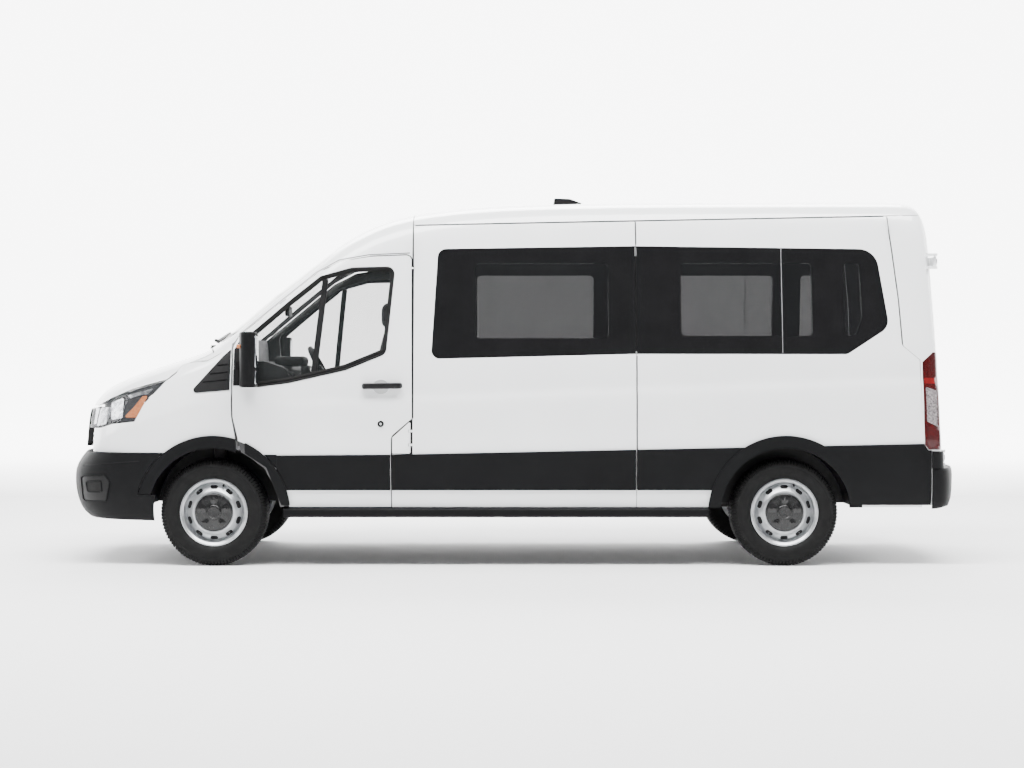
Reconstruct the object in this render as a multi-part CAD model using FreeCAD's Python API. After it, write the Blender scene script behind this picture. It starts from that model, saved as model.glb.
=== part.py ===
import FreeCAD, Part
import math
import os
from FreeCAD import Vector

# A long, medium-roof minibus, in millimetres.
# +X points forward, +Y to its left, +Z up. The origin is on the ground, under the middle of its length.

# Overall sizes
overall_length = 5980.0
front_overhang = 1030.0
wheelbase = 3750.0
half_width = 1017.0
cant_height = 2304.0
roof_height = 2450.0
side_bottom = 385.0
front_axle_x = overall_length / 2 - front_overhang
rear_axle_x = front_axle_x - wheelbase
tail_x = rear_axle_x - 1048.0
tail_lean = 0.04
line_rise = 0.0185

# Wall thicknesses
door_wall = 55.0
fender_wall = 12.0
hood_wall = 20.0
roof_wall = door_wall
glass_skin = 3.0
glass_wall = 6.0
door_glass_depth = 16.0
hoop_depth = 62.0
hoop_wall = 34.0
clad_out = 11.0
flare_out = 20.0

# Gaps where panels meet
moving_gap = 8.0
seam = 4.0
touch = 0.3

# Wheels
tyre_radius = 351.0
tyre_width = 235.0
track = 1732.0
rim_radius = 222.0
bead_radius = 204.0
kingpin_y = 770.0
arch_radius = 425.0
flare_radius = 506.0
arch_metal = 438.0
wheel_y = track / 2
axle_z = tyre_radius
stub_radius = 28.0
run_clearance = 0.06

# Panel lines seen from the side
door_front_x = front_axle_x - 118.0
pillar_x = 654.0
mid_cut_x = -815.0
flap_front_x = 791.0
gutter_front_z = 2250.0
gutter_rear_z = 2310.0
belt_front_z = 1183.0
clad_bottom = 500.0
clad_top_front = 733.0
clad_top_rear = 805.0
bumper_top = 742.0

# Floor
floor_z = 640.0
floor_wall = 40.0
firewall_x = 1800.0

# Hinges
door_hinge_back = 54.0
door_hinge_depth = 16.0
door_hinge_length = 60.0
door_swing_room = 22.0
door_flare_gap = 12.0
flare_start_back = 40.0
flare_end_ahead = 23.0
hood_hinge_back = 62.0
hood_hinge_depth = 26.0
hinge_pin = 4.0
hinge_barrel = 9.0
pin_clearance = 0.3
bumper_wall = 6.0
bumper_seam_z = 470.0
bumper_arch = 392.0
slat_front = 4.0
slat_back = 24.0
lip_depth = 24.0
hood_gap = 6.0
hood_rear_gap = 12.0
hood_hinge_y = 700.0
hood_hinge_z = 1445.0
door_hinge_heights = (790.0, 1000.0)
flap_eye_heights = (790.0, 880.0)

# Fixing points
rail_y = 412.0
rail_bottom = 480.0
towbar_hole_x = (-2560.0, -2680.0)
towbar_hole_radius = 6.5
jack_x = 900.0
jack_drop = 18.0
tow_eye_y = -560.0
tow_eye_z = 530.0
tow_eye_radius = 9.0

# Stations of the skin: distance ahead of an axle, side inset, cant rail inset, cant rail drop, crown drop
nose_stations = [
    (975, 767, 827, 1464, 1490), (958, 677, 747, 1454, 1450), (930, 547, 617, 1439, 1415),
    (900, 417, 497, 1374, 1360), (850, 277, 367, 1304, 1315), (770, 147, 247, 1234, 1250),
    (660, 67, 167, 1184, 1205), (520, 27, 122, 1129, 1152), (370, 11, 102, 1079, 1105),
    (230, 5, 92, 1029, 1060), (110, 3, 89, 989, 1020), (30, 2, 91, 959, 972),
    (-60, 1, 97, 909, 880), (-200, 0, 109, 814, 755), (-360, 0, 122, 679, 615),
    (-520, 0, 135, 559, 495), (-680, 0, 145, 432, 370), (-840, 0, 153, 309, 252),
    (-1000, 0, 158, 209, 168), (-1180, 0, 161, 139, 102), (-1420, 0, 163, 79, 62),
    (-1800, 0, 164, 36, 25), (-2410, 0, 164, 12, 7), (-3060, 0, 164, 4, 2)]
tail_stations = [(0, 0, 164, 0, 0), (-400, 0, 164, 0, 0), (-650, 0, 164, 0, 0)]
tail_rounding = [(160, 110, 0, 0), (45, 31, 0, 34), (0, 0, 30, 160), (0, 0, 100, 330)]

# Heights down the side: height, share of the rise, inset of the skin there
side_columns = [
    (385, 0, 42), (430, 0.3, 16), (480, 1, 8), (600, 1, 3), (711, 1, 2), (765, 1, 0), (800, 1, 4),
    (850, 1, 8), (940, 1.5, 7), (1010, 2, 4), (1050, 2, 11), (1075, 2, 17), (1120, 2, 12),
    (1200, 1.6, 6), (1327, 1.3, 0), (1600, 0.8, 0), (1850, 0.4, 0), (2080, 0.2, 0)]


def clamp(value, low, high):
    return max(low, min(high, value))


def tail_face(z):
    return tail_x + (z - side_bottom) * tail_lean


# Skin of the body as one smooth surface
def section(x, side_inset, cant_inset, cant_drop, crown_drop):
    width = half_width - side_inset
    cant_y = half_width - cant_inset
    cant_z = cant_height - cant_drop
    crown_z = roof_height - crown_drop
    fade = clamp((front_axle_x - 250.0 - x) / 400.0, 0.0, 1.0)
    squeeze_z = min(1200.0, cant_z - 285.0)
    lean_z = min(1060.0, cant_z - 250.0)
    points = []
    for index, (height, share, inset) in enumerate(side_columns):
        z = height + line_rise * share * max(0.0, front_axle_x - x)
        if z > squeeze_z:
            z = squeeze_z + (z - squeeze_z) * (cant_z - squeeze_z) / (cant_height - squeeze_z)
        lean = max(0.0, (z - lean_z) / (cant_z - lean_z)) ** 1.25
        depth = inset * (1.0 if index < 5 else fade)
        points.append(Vector(x, width - depth - (width - cant_y) * lean, z))
    crown = crown_z - cant_z
    points.append(Vector(x, cant_y, cant_z))
    points.append(Vector(x, cant_y * 0.9, cant_z + 0.65 * crown))
    points.append(Vector(x, cant_y * 0.5, cant_z + 0.9 * crown))
    points.append(Vector(x, 0.0, crown_z))
    return points


def rounded_tail(base):
    rows = []
    last = len(base) - 1
    for ahead, ahead_top, inset, drop in tail_rounding:
        row = []
        for index, point in enumerate(base):
            share = clamp((index - last + 6) / 3.0, 0.0, 1.0)
            z = point.z - share * drop
            y = point.y - inset * (1.0 if index < last - 1 else 0.5) if index < last else 0.0
            row.append(Vector(tail_face(z) + ahead + (ahead_top - ahead) * share, y, z))
        rows.append(row)
    return rows


def skin_rows():
    rows = [section(front_axle_x + row[0], *row[1:]) for row in nose_stations]
    rows += [section(rear_axle_x + row[0], *row[1:]) for row in tail_stations]
    return rows + rounded_tail(rows[-1])


def inset_rows(rows, inset, bottom):
    last_row = len(rows) - 1
    last = len(rows[0]) - 1
    result = []
    for i, row in enumerate(rows):
        moved = []
        for j, point in enumerate(row):
            along = rows[min(i + 1, last_row)][j] - rows[max(i - 1, 0)][j]
            across = row[j + 1] - row[max(j - 1, 0)] if j < last else Vector(0, -1, 0)
            normal = along.cross(across).normalize()
            moved.append(point - normal * inset)
        moved[0].z = bottom
        moved[last].y = 0.0
        result.append(moved)
    for point in result[0]:
        point.x = rows[0][0].x - inset
    for point in result[last_row]:
        point.x = tail_face(point.z) + inset
    return result


def spline_sheet(grid):
    def knots(count):
        return [float(k) for k in range(count - 2)], [4] + [1] * (count - 4) + [4]

    u_knots, u_mults = knots(len(grid))
    v_knots, v_mults = knots(len(grid[0]))
    sheet = Part.BSplineSurface()
    sheet.buildFromPolesMultsKnots(grid, u_mults, v_mults, u_knots, v_knots, False, False, 3, 3)
    return sheet


def closed_solid(faces):
    shell = Part.makeShell(faces)
    shell.sewShape()
    solid = Part.makeSolid(shell)
    if solid.Volume < 0:
        solid.reverse()
    return solid


forms = {}


def body_form(inset=0.0, bottom=side_bottom):
    key = (inset, bottom)
    if key not in forms:
        forms[key] = make_form(inset, bottom)
    return forms[key]


def make_form(inset, bottom):
    rows = inset_rows(skin_rows(), inset, bottom)
    grid = [row + [Vector(p.x, -p.y, p.z) for p in reversed(row[:-1])] for row in rows]
    sheet = spline_sheet(grid)
    u_low, u_high, v_low, v_high = sheet.bounds()
    left = sheet.vIso(v_low).toShape()
    right = sheet.vIso(v_high).toShape()
    front = sheet.uIso(u_low).toShape()
    rear = sheet.uIso(u_high).toShape()
    front_line = Part.makeLine(front.Vertexes[0].Point, front.Vertexes[-1].Point)
    rear_line = Part.makeLine(rear.Vertexes[0].Point, rear.Vertexes[-1].Point)
    caps = [Part.Face(Part.Wire([front, front_line])), Part.Face(Part.Wire([rear, rear_line]))]
    caps.append(Part.Face(Part.Wire(Part.__sortEdges__([left, front_line, right, rear_line]))))
    return closed_solid([sheet.toShape()] + caps)


layers = {}


def layer(outside, inside):
    key = (outside, inside)
    if key not in layers:
        layers[key] = body_form(outside).cut(body_form(inside, side_bottom - 85.0))
    return layers[key]


# Outlines and prisms
def rounded_wire(points, radius):
    radii = radius if isinstance(radius, list) else [radius] * len(points)
    edges = []
    count = len(points)
    starts = []
    ends = []
    middles = []
    for i, corner in enumerate(points):
        before = (points[i - 1] - corner).normalize()
        after = (points[(i + 1) % count] - corner).normalize()
        half = before.getAngle(after) / 2
        if radii[i] < 0.01 or abs(half - math.pi / 2) < 0.001:
            starts.append(corner)
            ends.append(corner)
            middles.append(None)
            continue
        reach = radii[i] / math.tan(half)
        centre = corner + (before + after).normalize() * (radii[i] / math.sin(half))
        starts.append(corner + before * reach)
        ends.append(corner + after * reach)
        middles.append(centre + (corner - centre).normalize() * radii[i])
    for i in range(count):
        if middles[i] is not None:
            edges.append(Part.Arc(starts[i], middles[i], ends[i]).toShape())
        following = starts[(i + 1) % count]
        if (following - ends[i]).Length > 0.01:
            edges.append(Part.makeLine(ends[i], following))
    return Part.Wire(edges)


def side_prism(points, radius, y_low, y_high):
    corners = [Vector(x, y_low, z) for x, z in points]
    return Part.Face(rounded_wire(corners, radius)).extrude(Vector(0, y_high - y_low, 0))


def top_prism(points, radius, z_low, z_high):
    corners = [Vector(x, y, z_low) for x, y in points]
    return Part.Face(rounded_wire(corners, radius)).extrude(Vector(0, 0, z_high - z_low))


def end_prism(points, radius, x_low, x_high):
    corners = [Vector(x_low, y, z) for y, z in points]
    return Part.Face(rounded_wire(corners, radius)).extrude(Vector(x_high - x_low, 0, 0))


def box(x_low, x_high, y_low, y_high, z_low, z_high):
    return Part.makeBox(x_high - x_low, y_high - y_low, z_high - z_low, Vector(x_low, y_low, z_low))


def rod(start, end, radius):
    start = Vector(*start)
    run = Vector(*end) - start
    return Part.makeCylinder(radius, run.Length, start, run)


def drum(x, y_low, y_high, radius, z=axle_z):
    return Part.makeCylinder(radius, y_high - y_low, Vector(x, y_low, z), Vector(0, 1, 0))


def mirrored(shape):
    return shape.mirror(Vector(0, 0, 0), Vector(0, 1, 0))


def both(shape):
    return Part.makeCompound([shape, mirrored(shape)])


def on_side(shape, side):
    return shape if side > 0 else mirrored(shape)


def fused(shapes):
    first = shapes[0]
    return first.multiFuse(shapes[1:]).removeSplitter() if len(shapes) > 1 else first


def side_slab(points, radius, grow, y_low=300.0, y_high=1300.0):
    face = Part.Face(rounded_wire([Vector(x, 0, z) for x, z in points], radius))
    if grow:
        face = face.makeOffset2D(grow)
    slab = face.extrude(Vector(0, y_high - y_low, 0))
    slab.translate(Vector(0, y_low, 0))
    return slab


# Outlines of doors and windows, as (x, z) from the side
def door_outline(with_flap):
    roof_edge = [(660, 2050), (942, 2040), (1139, 2009), (1297, 1925), (1538, 1728), (1811, 1504)]
    front = [(door_front_x, 1440), (door_front_x - 8, 980), (1776, 740)]
    arch = [(1620, 640), (1523, 385)]
    if with_flap:
        rear = [(flap_front_x, 385), (flap_front_x, 850), (pillar_x, 967)]
    else:
        rear = [(pillar_x, 385)]
    return roof_edge + front + arch + rear


def door_window():
    return [(1721, 1526), (1458, 1741), (1258, 1899), (1060, 1955), (780, 1962),
            (838, 1400), (1100, 1294), (1458, 1211), (1705, 1178)]


front_glazing = [(487, 2087), (mid_cut_x + seam, 2106), (mid_cut_x + seam, 1392), (533, 1359)]
rear_glazing = [(mid_cut_x - seam, 2106), (-2400, 2085), (-2478, 1570), (-2200, 1390),
                (mid_cut_x - seam, 1392)]
glazing_radius = [55.0, 1.0, 1.0, 55.0]
rear_glazing_radius = [1.0, 130.0, 90.0, 60.0, 1.0]
front_opening = [(240, 1992), (-634, 1992), (-634, 1496), (240, 1496)]
rear_openings = [[(-1112, 1992), (-1976, 1992), (-1976, 1512), (-1112, 1512)],
                 [(-2184, 1992), (-2292, 1992), (-2304, 1640), (-2262, 1520), (-2184, 1506)]]


def arch_prism(axle_x, radius, y_low=300.0, y_high=1300.0):
    round_part = drum(axle_x, y_low, y_high, radius)
    below = box(axle_x - radius, axle_x + radius, y_low, y_high, -200.0, axle_z)
    return round_part.fuse(below)


def hood_cutter(grow):
    edge = hood_edge(grow)
    above = side_prism(edge, 0.0, -1200.0, 1200.0)
    plan = hood_plan(grow)
    return above.common(top_prism(plan, 0.0, 800.0, 1700.0))


def hood_edge(grow):
    low = [(3100, 1030), (2770, 1048), (2660, 1101), (2500, 1166), (2272, 1227), (2172, 1312), (1900, 1318)]
    return [(x - (grow if index > 3 else 0.0), z - grow) for index, (x, z) in enumerate(low)] + \
        [(1900, 1800), (3100, 1800)]


def hood_plan(grow):
    rear = front_axle_x + 130.0 - grow
    corner = front_axle_x + 20.0 - grow
    side = 862.0 + grow
    half = [(rear, 0.0), (rear - 20, 380), (rear - 62, 650), (corner, side), (2185, side), (2300, 1060),
            (3100, 1060)]
    return half + [(x, -y) for x, y in reversed(half[1:])]


# Main layers, made once
skin = layer(0.0, door_wall)


def fender(side):
    sheet = layer(0.0, fender_wall)
    zone = side_slab([(door_front_x + moving_gap, side_bottom - 50), (3000, side_bottom - 50), (3000, 1240),
                      (2160, 1330), (2010, 1345), (1925, 1392), (door_front_x + moving_gap, 1475)], 0.0, 0.0)
    piece = sheet.common(zone)
    for cutter in (hood_cutter(hood_gap), arch_prism(front_axle_x, arch_metal), lamp_slab(seam),
                   box(2250, 3100, 200, 1300, 200, bumper_top + seam), box(2790, 3100, 0, 800, 0, 1400)):
        piece = piece.cut(cutter)
    return on_side(piece, side)


def lamp_outline():
    return [(2960, 890), (2726, 908), (2633, 935), (2481, 952), (2421, 1068), (2272, 1227), (2500, 1166),
            (2660, 1101), (2770, 1048), (2960, 1036)]


def lamp_slab(grow):
    return side_slab(lamp_outline(), 0.0, grow, 520.0)


def headlamp():
    return layer(-2.0, 70.0).common(lamp_slab(-touch)).cut(hood_cutter(hood_gap))


def grille():
    outline = [(-500, 1022), (500, 1022), (500, 900), (455, 770), (-455, 770), (-500, 900)]
    face = layer(-8.0, 30.0).common(end_prism(outline, 30.0, 2600, 3100))
    opening = [(-470, 1000), (470, 1000), (470, 905), (430, 795), (-430, 795), (-470, 905)]
    frame_ring = face.cut(end_prism(opening, 20.0, 2500, 3200))
    bars = [layer(-2.0, 30.0).common(end_prism(opening, 20.0, 2600, 3100)).common(
        box(2500, 3200, -480, 480, z, z + 16)) for z in range(815, 1000, 38)]
    return fused([frame_ring] + bars)


def front_door(side):
    outline = door_outline(side > 0)
    radii = [40, 0, 60, 0, 0, 30, 60, 60, 30, 0, 0] + ([0, 40, 0] if side > 0 else [0])
    panel = skin.common(side_slab(outline, [float(r) for r in radii], -moving_gap / 2))
    panel = panel.cut(arch_prism(front_axle_x, arch_metal))
    panel = panel.cut(side_slab(door_window(), 45.0, 0.0))
    return on_side(door_with_hinges(panel), side)


def door_axis():
    return door_front_x - door_hinge_back, half_width - door_hinge_depth


def door_with_hinges(panel):
    x, y = door_axis()
    for z in door_hinge_heights:
        top = z + door_hinge_length
        pocket = box(x - 18, x + 80, 860, y - 3, z - 28, top + 28)
        room = rod((x, y, z - 28), (x, y, top + 28), hinge_barrel + 1)
        panel = panel.cut(pocket).cut(room)
        leaf = box(x - 8, x + 8, y, y + 12, z, top).common(skin)
        barrel = rod((x, y, z), (x, y, top), hinge_barrel - 1)
        panel = fused([panel, leaf, barrel]).cut(rod((x, y, z - 5), (x, y, top + 5), hinge_pin + pin_clearance))
    return panel


def hinge_arms():
    x, y = door_axis()
    arms = []
    for z in door_hinge_heights:
        arm = rod((x, y, z - 22), (x, y, z + door_hinge_length + 22), hinge_pin)
        for low in (z - 22, z + door_hinge_length + 2):
            arm = arm.fuse(rod((x, y, low), (x, y, low + 20), hinge_barrel - 2))
            arm = arm.fuse(box(x - 8, x - 1, 905, y, low, low + 20))
            arm = arm.fuse(box(x - 8, firewall_x + 10, 905, 930, low, low + 20))
        arms.append(arm)
    return arms


def door_glass(side):
    pane = layer(door_glass_depth, door_glass_depth + glass_wall)
    return on_side(pane.common(side_slab(door_window(), 45.0, -touch)), side)


def door_trim(side):
    sheet = layer(-clad_out, -touch)
    rear_x = (flap_front_x if side > 0 else pillar_x) + 6.0
    band = sheet.common(side_slab([(rear_x, clad_bottom), (1540, clad_bottom),
                                   (1540, clad_top_front - 5), (rear_x, clad_top_front)], 0.0, 0.0))
    band = band.cut(arch_prism(front_axle_x, flare_radius + touch))
    ring = layer(-flare_out, -touch).common(drum(front_axle_x, 300, 1300, flare_radius))
    ring = ring.cut(arch_prism(front_axle_x, arch_radius))
    ring = ring.common(side_slab(door_outline(side > 0), 0.0, -moving_gap / 2 - door_flare_gap))
    ring = ring.cut(box(door_axis()[0] - flare_start_back, 2600, 300, 1300, 300, 1000))
    handle = layer(-40.0, -18.0).common(box(735, 970, 500, 1200, 1168, 1196))
    foot = layer(-30.0, -touch).common(box(735, 770, 500, 1200, 1168, 1196))
    front_foot = layer(-30.0, -touch).common(box(935, 970, 500, 1200, 1168, 1196))
    sail = layer(-6.0, -touch).common(side_slab([(1720, 1522), (1800, 1488), (door_front_x - 8, 1420),
                                                 (door_front_x - 8, 1180), (1712, 1180)], 8.0, -moving_gap / 2))
    arm = box(1715, 1800, 930, 1075, 1290, 1340).cut(body_form(-3.0))
    housing = top_prism([(1668, 1042), (1668, 1237), (1745, 1225), (1775, 1060)], [12.0, 25.0, 40.0, 25.0],
                        1183, 1526)
    return on_side(fused([band, ring, handle.fuse(foot).fuse(front_foot), sail, arm, housing]), side)


def cab_frame():
    frame = skin.common(box(pillar_x + seam, 2200, -1300, 1300, 385, 2600))
    frame = frame.cut(top_prism(hood_plan(hood_rear_gap), 0.0, 300.0, 1800.0))
    frame = frame.cut(windscreen_slab(0.0))
    low_front = [(door_front_x - 40, 380), (2300, 380), (2300, 1349), (2010, 1349), (1925, 1396),
                 (door_front_x - 40, 1500)]
    for side in (1, -1):
        frame = frame.cut(on_side(side_slab(low_front, 0.0, 0.0, 866.0), side))
        frame = frame.cut(on_side(side_slab(door_outline(False), [40.0, 0, 60.0, 0, 0, 30.0, 60.0, 60.0, 30.0,
                                                                  0, 0, 0], moving_gap / 2, 700.0), side))
        frame = frame.cut(hood_slot(side))
    frame = frame.cut(box(pillar_x - 50, 2300, -1300, 1300, 300, 1290))
    pins = []
    for side in (1, -1):
        x, y, z = hood_hinge_spot(side)
        pins.append(drum(x, y - 30, y + 30, 5.0, z))
    return fused([frame] + pins)


def windscreen_slab(grow):
    half = [(front_axle_x + 72 + grow, 0), (front_axle_x + 50 + grow, 400), (front_axle_x - 40 + grow, 835 + grow),
            (1200 - grow, 748 + grow), (1150 - grow, 400), (1140 - grow, 0)]
    points = half + [(x, -y) for x, y in reversed(half[1:-1])]
    radii = [0.0, 0.0, 60.0, 70.0, 0.0, 0.0, 0.0, 70.0, 60.0, 0.0]
    return top_prism(points, radii, 1000.0, 2600.0)


def windscreen():
    return layer(glass_skin, glass_skin + glass_wall).common(windscreen_slab(-touch))


def hood():
    panel = layer(0.0, hood_wall).common(hood_cutter(0.0))
    return fused([panel, hood_arm(1), hood_arm(-1)])


def gutter(x_front, x_rear, above):
    slope = (gutter_rear_z - gutter_front_z) / (pillar_x + 2480.0)
    front_z = gutter_front_z + (pillar_x - x_front) * slope
    rear_z = gutter_front_z + (pillar_x - x_rear) * slope
    top = 2700.0 if above else 300.0
    lift = seam / 2 if above else -seam / 2
    return side_prism([(x_front, front_z + lift), (x_rear, rear_z + lift), (x_rear, top), (x_front, top)], 0.0,
                      -1300.0, 1300.0)


def corner_line(shift):
    line = [(-2440, 2600), (-2482, 2314), (-2505, 2125), (-2545, 1752), (-2565, 1445), (-2675, 1353), (-2692, 300)]
    return [(x + shift, z) for x, z in line]


def roof():
    return layer(0.0, roof_wall).common(gutter(pillar_x - seam, tail_x - 100, True)).cut(rear_door_opening(seam))


def side_zone(x_front, x_rear):
    return side_prism([(x_front, 300), (x_front, 2600), (x_rear, 2600), (x_rear, 300)], 0.0, 300.0, 1300.0)


def side_panel(side):
    panel = skin.common(side_zone(pillar_x - 2, mid_cut_x + 2)).common(gutter(pillar_x, tail_x, False))
    if side > 0:
        panel = panel.fuse(skin.common(side_slab([(pillar_x - 2, 300), (flap_front_x - 4, 300),
                                                  (flap_front_x - 4, 735), (pillar_x - 2, 735)], 0.0, 0.0)))
        panel = panel.fuse(flap_eyes())
    panel = panel.cut(glass_recess(past_cut(front_glazing, -20.0), glazing_radius))
    panel = panel.cut(side_slab(front_opening, 30.0, 0.0))
    return on_side(panel.common(side_slab([(900, 387), (900, 2500), (-900, 2500), (-900, 387)], 0.0, 0.0)), side)


def past_cut(outline, reach):
    def at_cut(point):
        return abs(point[0] - mid_cut_x) < 2.0 * seam

    result = []
    for index, (x, z) in enumerate(outline):
        if at_cut((x, z)):
            sides = (outline[index - 1], outline[(index + 1) % len(outline)])
            far_x, far_z = [point for point in sides if not at_cut(point)][0]
            z += (z - far_z) / (x - far_x) * (mid_cut_x + reach - x)
            x = mid_cut_x + reach
        result.append((x, z))
    return result


def glass_recess(outline, radius):
    return layer(-40.0, glass_skin + glass_wall + 1.0).common(side_slab(outline, radius, 0.0))


def quarter_panel(side):
    line = corner_line(2.0)
    zone = side_prism([(mid_cut_x - 2, 387), (mid_cut_x - 2, 2600)] + line[:-1] + [(-2690, 760), (-2690, 387)], 0.0,
                      300.0, 1300.0)
    panel = skin.common(zone).common(gutter(pillar_x, tail_x - 100, False))
    panel = panel.cut(glass_recess(past_cut(rear_glazing, 20.0), rear_glazing_radius))
    for opening in rear_openings:
        panel = panel.cut(side_slab(opening, 24.0, 0.0))
    panel = panel.cut(arch_prism(rear_axle_x, arch_metal))
    return on_side(panel, side)


def side_glass():
    panes = layer(glass_skin, glass_skin + glass_wall)
    pieces = []
    for outline, radius in ((front_glazing, glazing_radius), (rear_glazing, rear_glazing_radius)):
        pane = panes.common(side_slab(outline, radius, -touch))
        pieces += [pane, mirrored(pane)]
    return Part.makeCompound(pieces)


def rear_door_outline(grow):
    return [(2 - grow, 662 - grow), (868 + grow, 662 - grow), (868 + grow, 1500), (800 + grow, 2130 + grow),
            (700, 2262 + grow), (2 - grow, 2280 + grow)]


def rear_door_opening(grow):
    half = rear_door_outline(grow)
    points = half[1:] + [(-y, z) for y, z in reversed(half[1:])]
    return end_prism(points, 0.0, tail_x - 300, tail_x + 400)


def tail_lamp_outline():
    return [(-2690, 1340), (-2762, 1404), (-2900, 1404), (-2900, 766), (-2724, 766), (-2700, 800)]


def tail_lamp():
    lamp = layer(-2.0, 60.0).common(side_slab(tail_lamp_outline(), 0.0, -touch, 300.0))
    return lamp.cut(rear_door_opening(moving_gap + 4.0))


def rear_corners():
    line = corner_line(-2.0)
    zone = side_prism(line[:-1] + [(-2690, 760), (-2690, 387), (-2950, 387), (-2950, 2600)], 0.0, 300.0, 1300.0)
    corner = skin.common(zone).common(gutter(pillar_x, tail_x - 200, False))
    corner = corner.cut(rear_door_opening(moving_gap))
    corner = corner.cut(side_slab(tail_lamp_outline(), 0.0, 0.0, 300.0))
    low = box(tail_x - 100, -2600, 0, 1300, 300, 662 - moving_gap)
    upper, lower = rear_hinges(False)[1], rear_hinges(False)[0]
    corner = fused([corner.cut(low), upper, lower])
    sill = skin.common(box(tail_x - 100, -2690 - 4, -1300, 1300, 400, 650))
    return both(corner), sill


def rear_door(side):
    outline = rear_door_outline(-moving_gap / 2)
    panel = skin.common(end_prism(outline, [20.0, 30.0, 0.0, 60.0, 60.0, 20.0], tail_x - 300, tail_x + 260))
    window = [(110, 1420), (770, 1420), (745, 2010), (110, 2010)]
    panel = panel.cut(end_prism(window, 60.0, tail_x - 300, tail_x + 400))
    return on_side(fused([panel] + rear_hinges(True)), side)


def rear_glass(side):
    window = [(110 + touch, 1420 + touch), (770 - touch, 1420 + touch), (745 - touch, 2010 - touch),
              (110 + touch, 2010 - touch)]
    pane = layer(glass_skin, glass_skin + glass_wall)
    return on_side(pane.common(end_prism(window, 60.0, tail_x - 300, tail_x + 260)), side)


def rear_axis(z):
    return tail_face(z) - 22.0, 884.0, z


rear_hinge_heights = (680.0, 1975.0)


def rear_hinges(moving):
    pieces = []
    for z in rear_hinge_heights:
        low = Vector(*rear_axis(z))
        high = Vector(*rear_axis(z + 60.0))
        if moving:
            edge = rear_door_edge(z + 60.0)
            leaf = box(low.x - 3, low.x + 7, edge - 60, 884, z, z + 60)
            foot = box(low.x - 3, low.x + 44, edge - 60, edge - 10, z, z + 60)
            barrel = rod(low, high, 11.0)
            hole = rod(rear_axis(z - 10), rear_axis(z + 70), 5.0 + pin_clearance)
            pieces.append(leaf.fuse(foot).fuse(barrel).cut(hole))
        else:
            pin = rod(rear_axis(z - 20), rear_axis(z + 80), 5.0)
            for base in (z - 21, z + 63):
                pin = pin.fuse(box(low.x - 8, low.x + 60, 878, 915, base, base + 18))
            pieces.append(pin)
    return pieces


def fuel_flap():
    outline = [(pillar_x + 6, 740), (flap_front_x - 6, 740), (flap_front_x - 6, 845), (pillar_x + 6, 958)]
    plate = layer(0.0, 14.0).common(side_slab(outline, [0.0, 6.0, 6.0, 0.0], 0.0))
    x, y = flap_axis()
    plate = plate.cut(box(x - 30, x, 900, 1100, 600, 1000))
    plate = plate.fuse(rod((x, y, 746), (x, y, 940), 7.0)).fuse(box(x, x + 8, y - 7, y + 7, 746, 940))
    plate = plate.cut(rod((x, y, 700), (x, y, 1000), 3.0 + pin_clearance))
    for z in flap_eye_heights:
        plate = plate.cut(box(x - 20, x + 8, 900, 1100, z - 2, z + 16))
    return plate


# Bumpers as splined skirts round the ends of the body
def skirt(plan, levels, back_x, inset, top_drop, bottom_drop):
    rows = []
    tip_x = plan[-1][0]
    for index, (z, setback, tuck) in enumerate(levels):
        level = z - (top_drop if index == 0 else 0.0) - (bottom_drop if index == len(levels) - 1 else 0.0)
        half = []
        for x, y in plan:
            share = (x - plan[0][0]) / (tip_x - plan[0][0])
            direction = 1.0 if tip_x > 0 else -1.0
            new_x = x - direction * (setback + inset) * share
            new_y = y - (tuck + inset) * y / plan[0][1]
            half.append(Vector(new_x, new_y, level))
        half[0].x = back_x
        rows.append(half + [Vector(p.x, -p.y, p.z) for p in reversed(half[:-1])])
    sheet = spline_sheet(rows)
    u_low, u_high, v_low, v_high = sheet.bounds()
    sides = [sheet.vIso(v).toShape() for v in (v_low, v_high)]
    ends = [sheet.uIso(u).toShape() for u in (u_low, u_high)]
    lines = [Part.makeLine(end.Vertexes[0].Point, end.Vertexes[-1].Point) for end in ends]
    caps = [Part.Face(Part.Wire([end, line])) for end, line in zip(ends, lines)]
    caps.append(Part.Face(Part.Wire(Part.__sortEdges__([sides[0], lines[0], sides[1], lines[1]]))))
    return closed_solid([sheet.toShape()] + caps)


def front_skirt(inset, top_drop=0.0, bottom_drop=0.0, back=0.0):
    nose = front_axle_x + front_overhang
    back_x = front_axle_x + 290.0 - back
    plan = [(front_axle_x + 290, 1026), (front_axle_x + 440, 1024), (front_axle_x + 640, 1004),
            (front_axle_x + 770, 960), (front_axle_x + 870, 885), (front_axle_x + 940, 770),
            (front_axle_x + 985, 610), (nose - 10, 400), (nose, 150), (nose, 0)]
    levels = [(742, 82, 6), (700, 45, 2), (640, 4, 0), (557, 0, 2), (476, 6, 8), (402, 26, 26), (344, 52, 46),
              (297, 108, 80), (262, 190, 112)]
    return skirt(plan, levels, back_x, inset, top_drop, bottom_drop)


def rear_skirt(inset, top_drop=0.0, bottom_drop=0.0, back=0.0):
    tail = -overall_length / 2
    plan = [(tail + 240, 1021), (tail + 170, 1012), (tail + 118, 965), (tail + 85, 880), (tail + 60, 740),
            (tail + 8, 600), (tail, 480), (tail, 0)]
    levels = [(642, 18, 6), (630, 0, 0), (560, 0, 0), (450, 4, 4), (392, 14, 14), (370, 50, 40)]
    return skirt(plan, levels, tail + 240 + back, inset, top_drop, bottom_drop)


# Charcoal cladding along the fixed sides
def clad_line(x):
    slope = (clad_top_rear - clad_top_front) / (flap_front_x + 2745.0)
    return clad_top_front + (flap_front_x - x) * slope


def clad_band(x_front, x_rear):
    return side_slab([(x_front, clad_bottom), (x_front, clad_line(x_front)), (x_rear, clad_line(x_rear)),
                      (x_rear, clad_bottom)], 0.0, 0.0)


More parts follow.
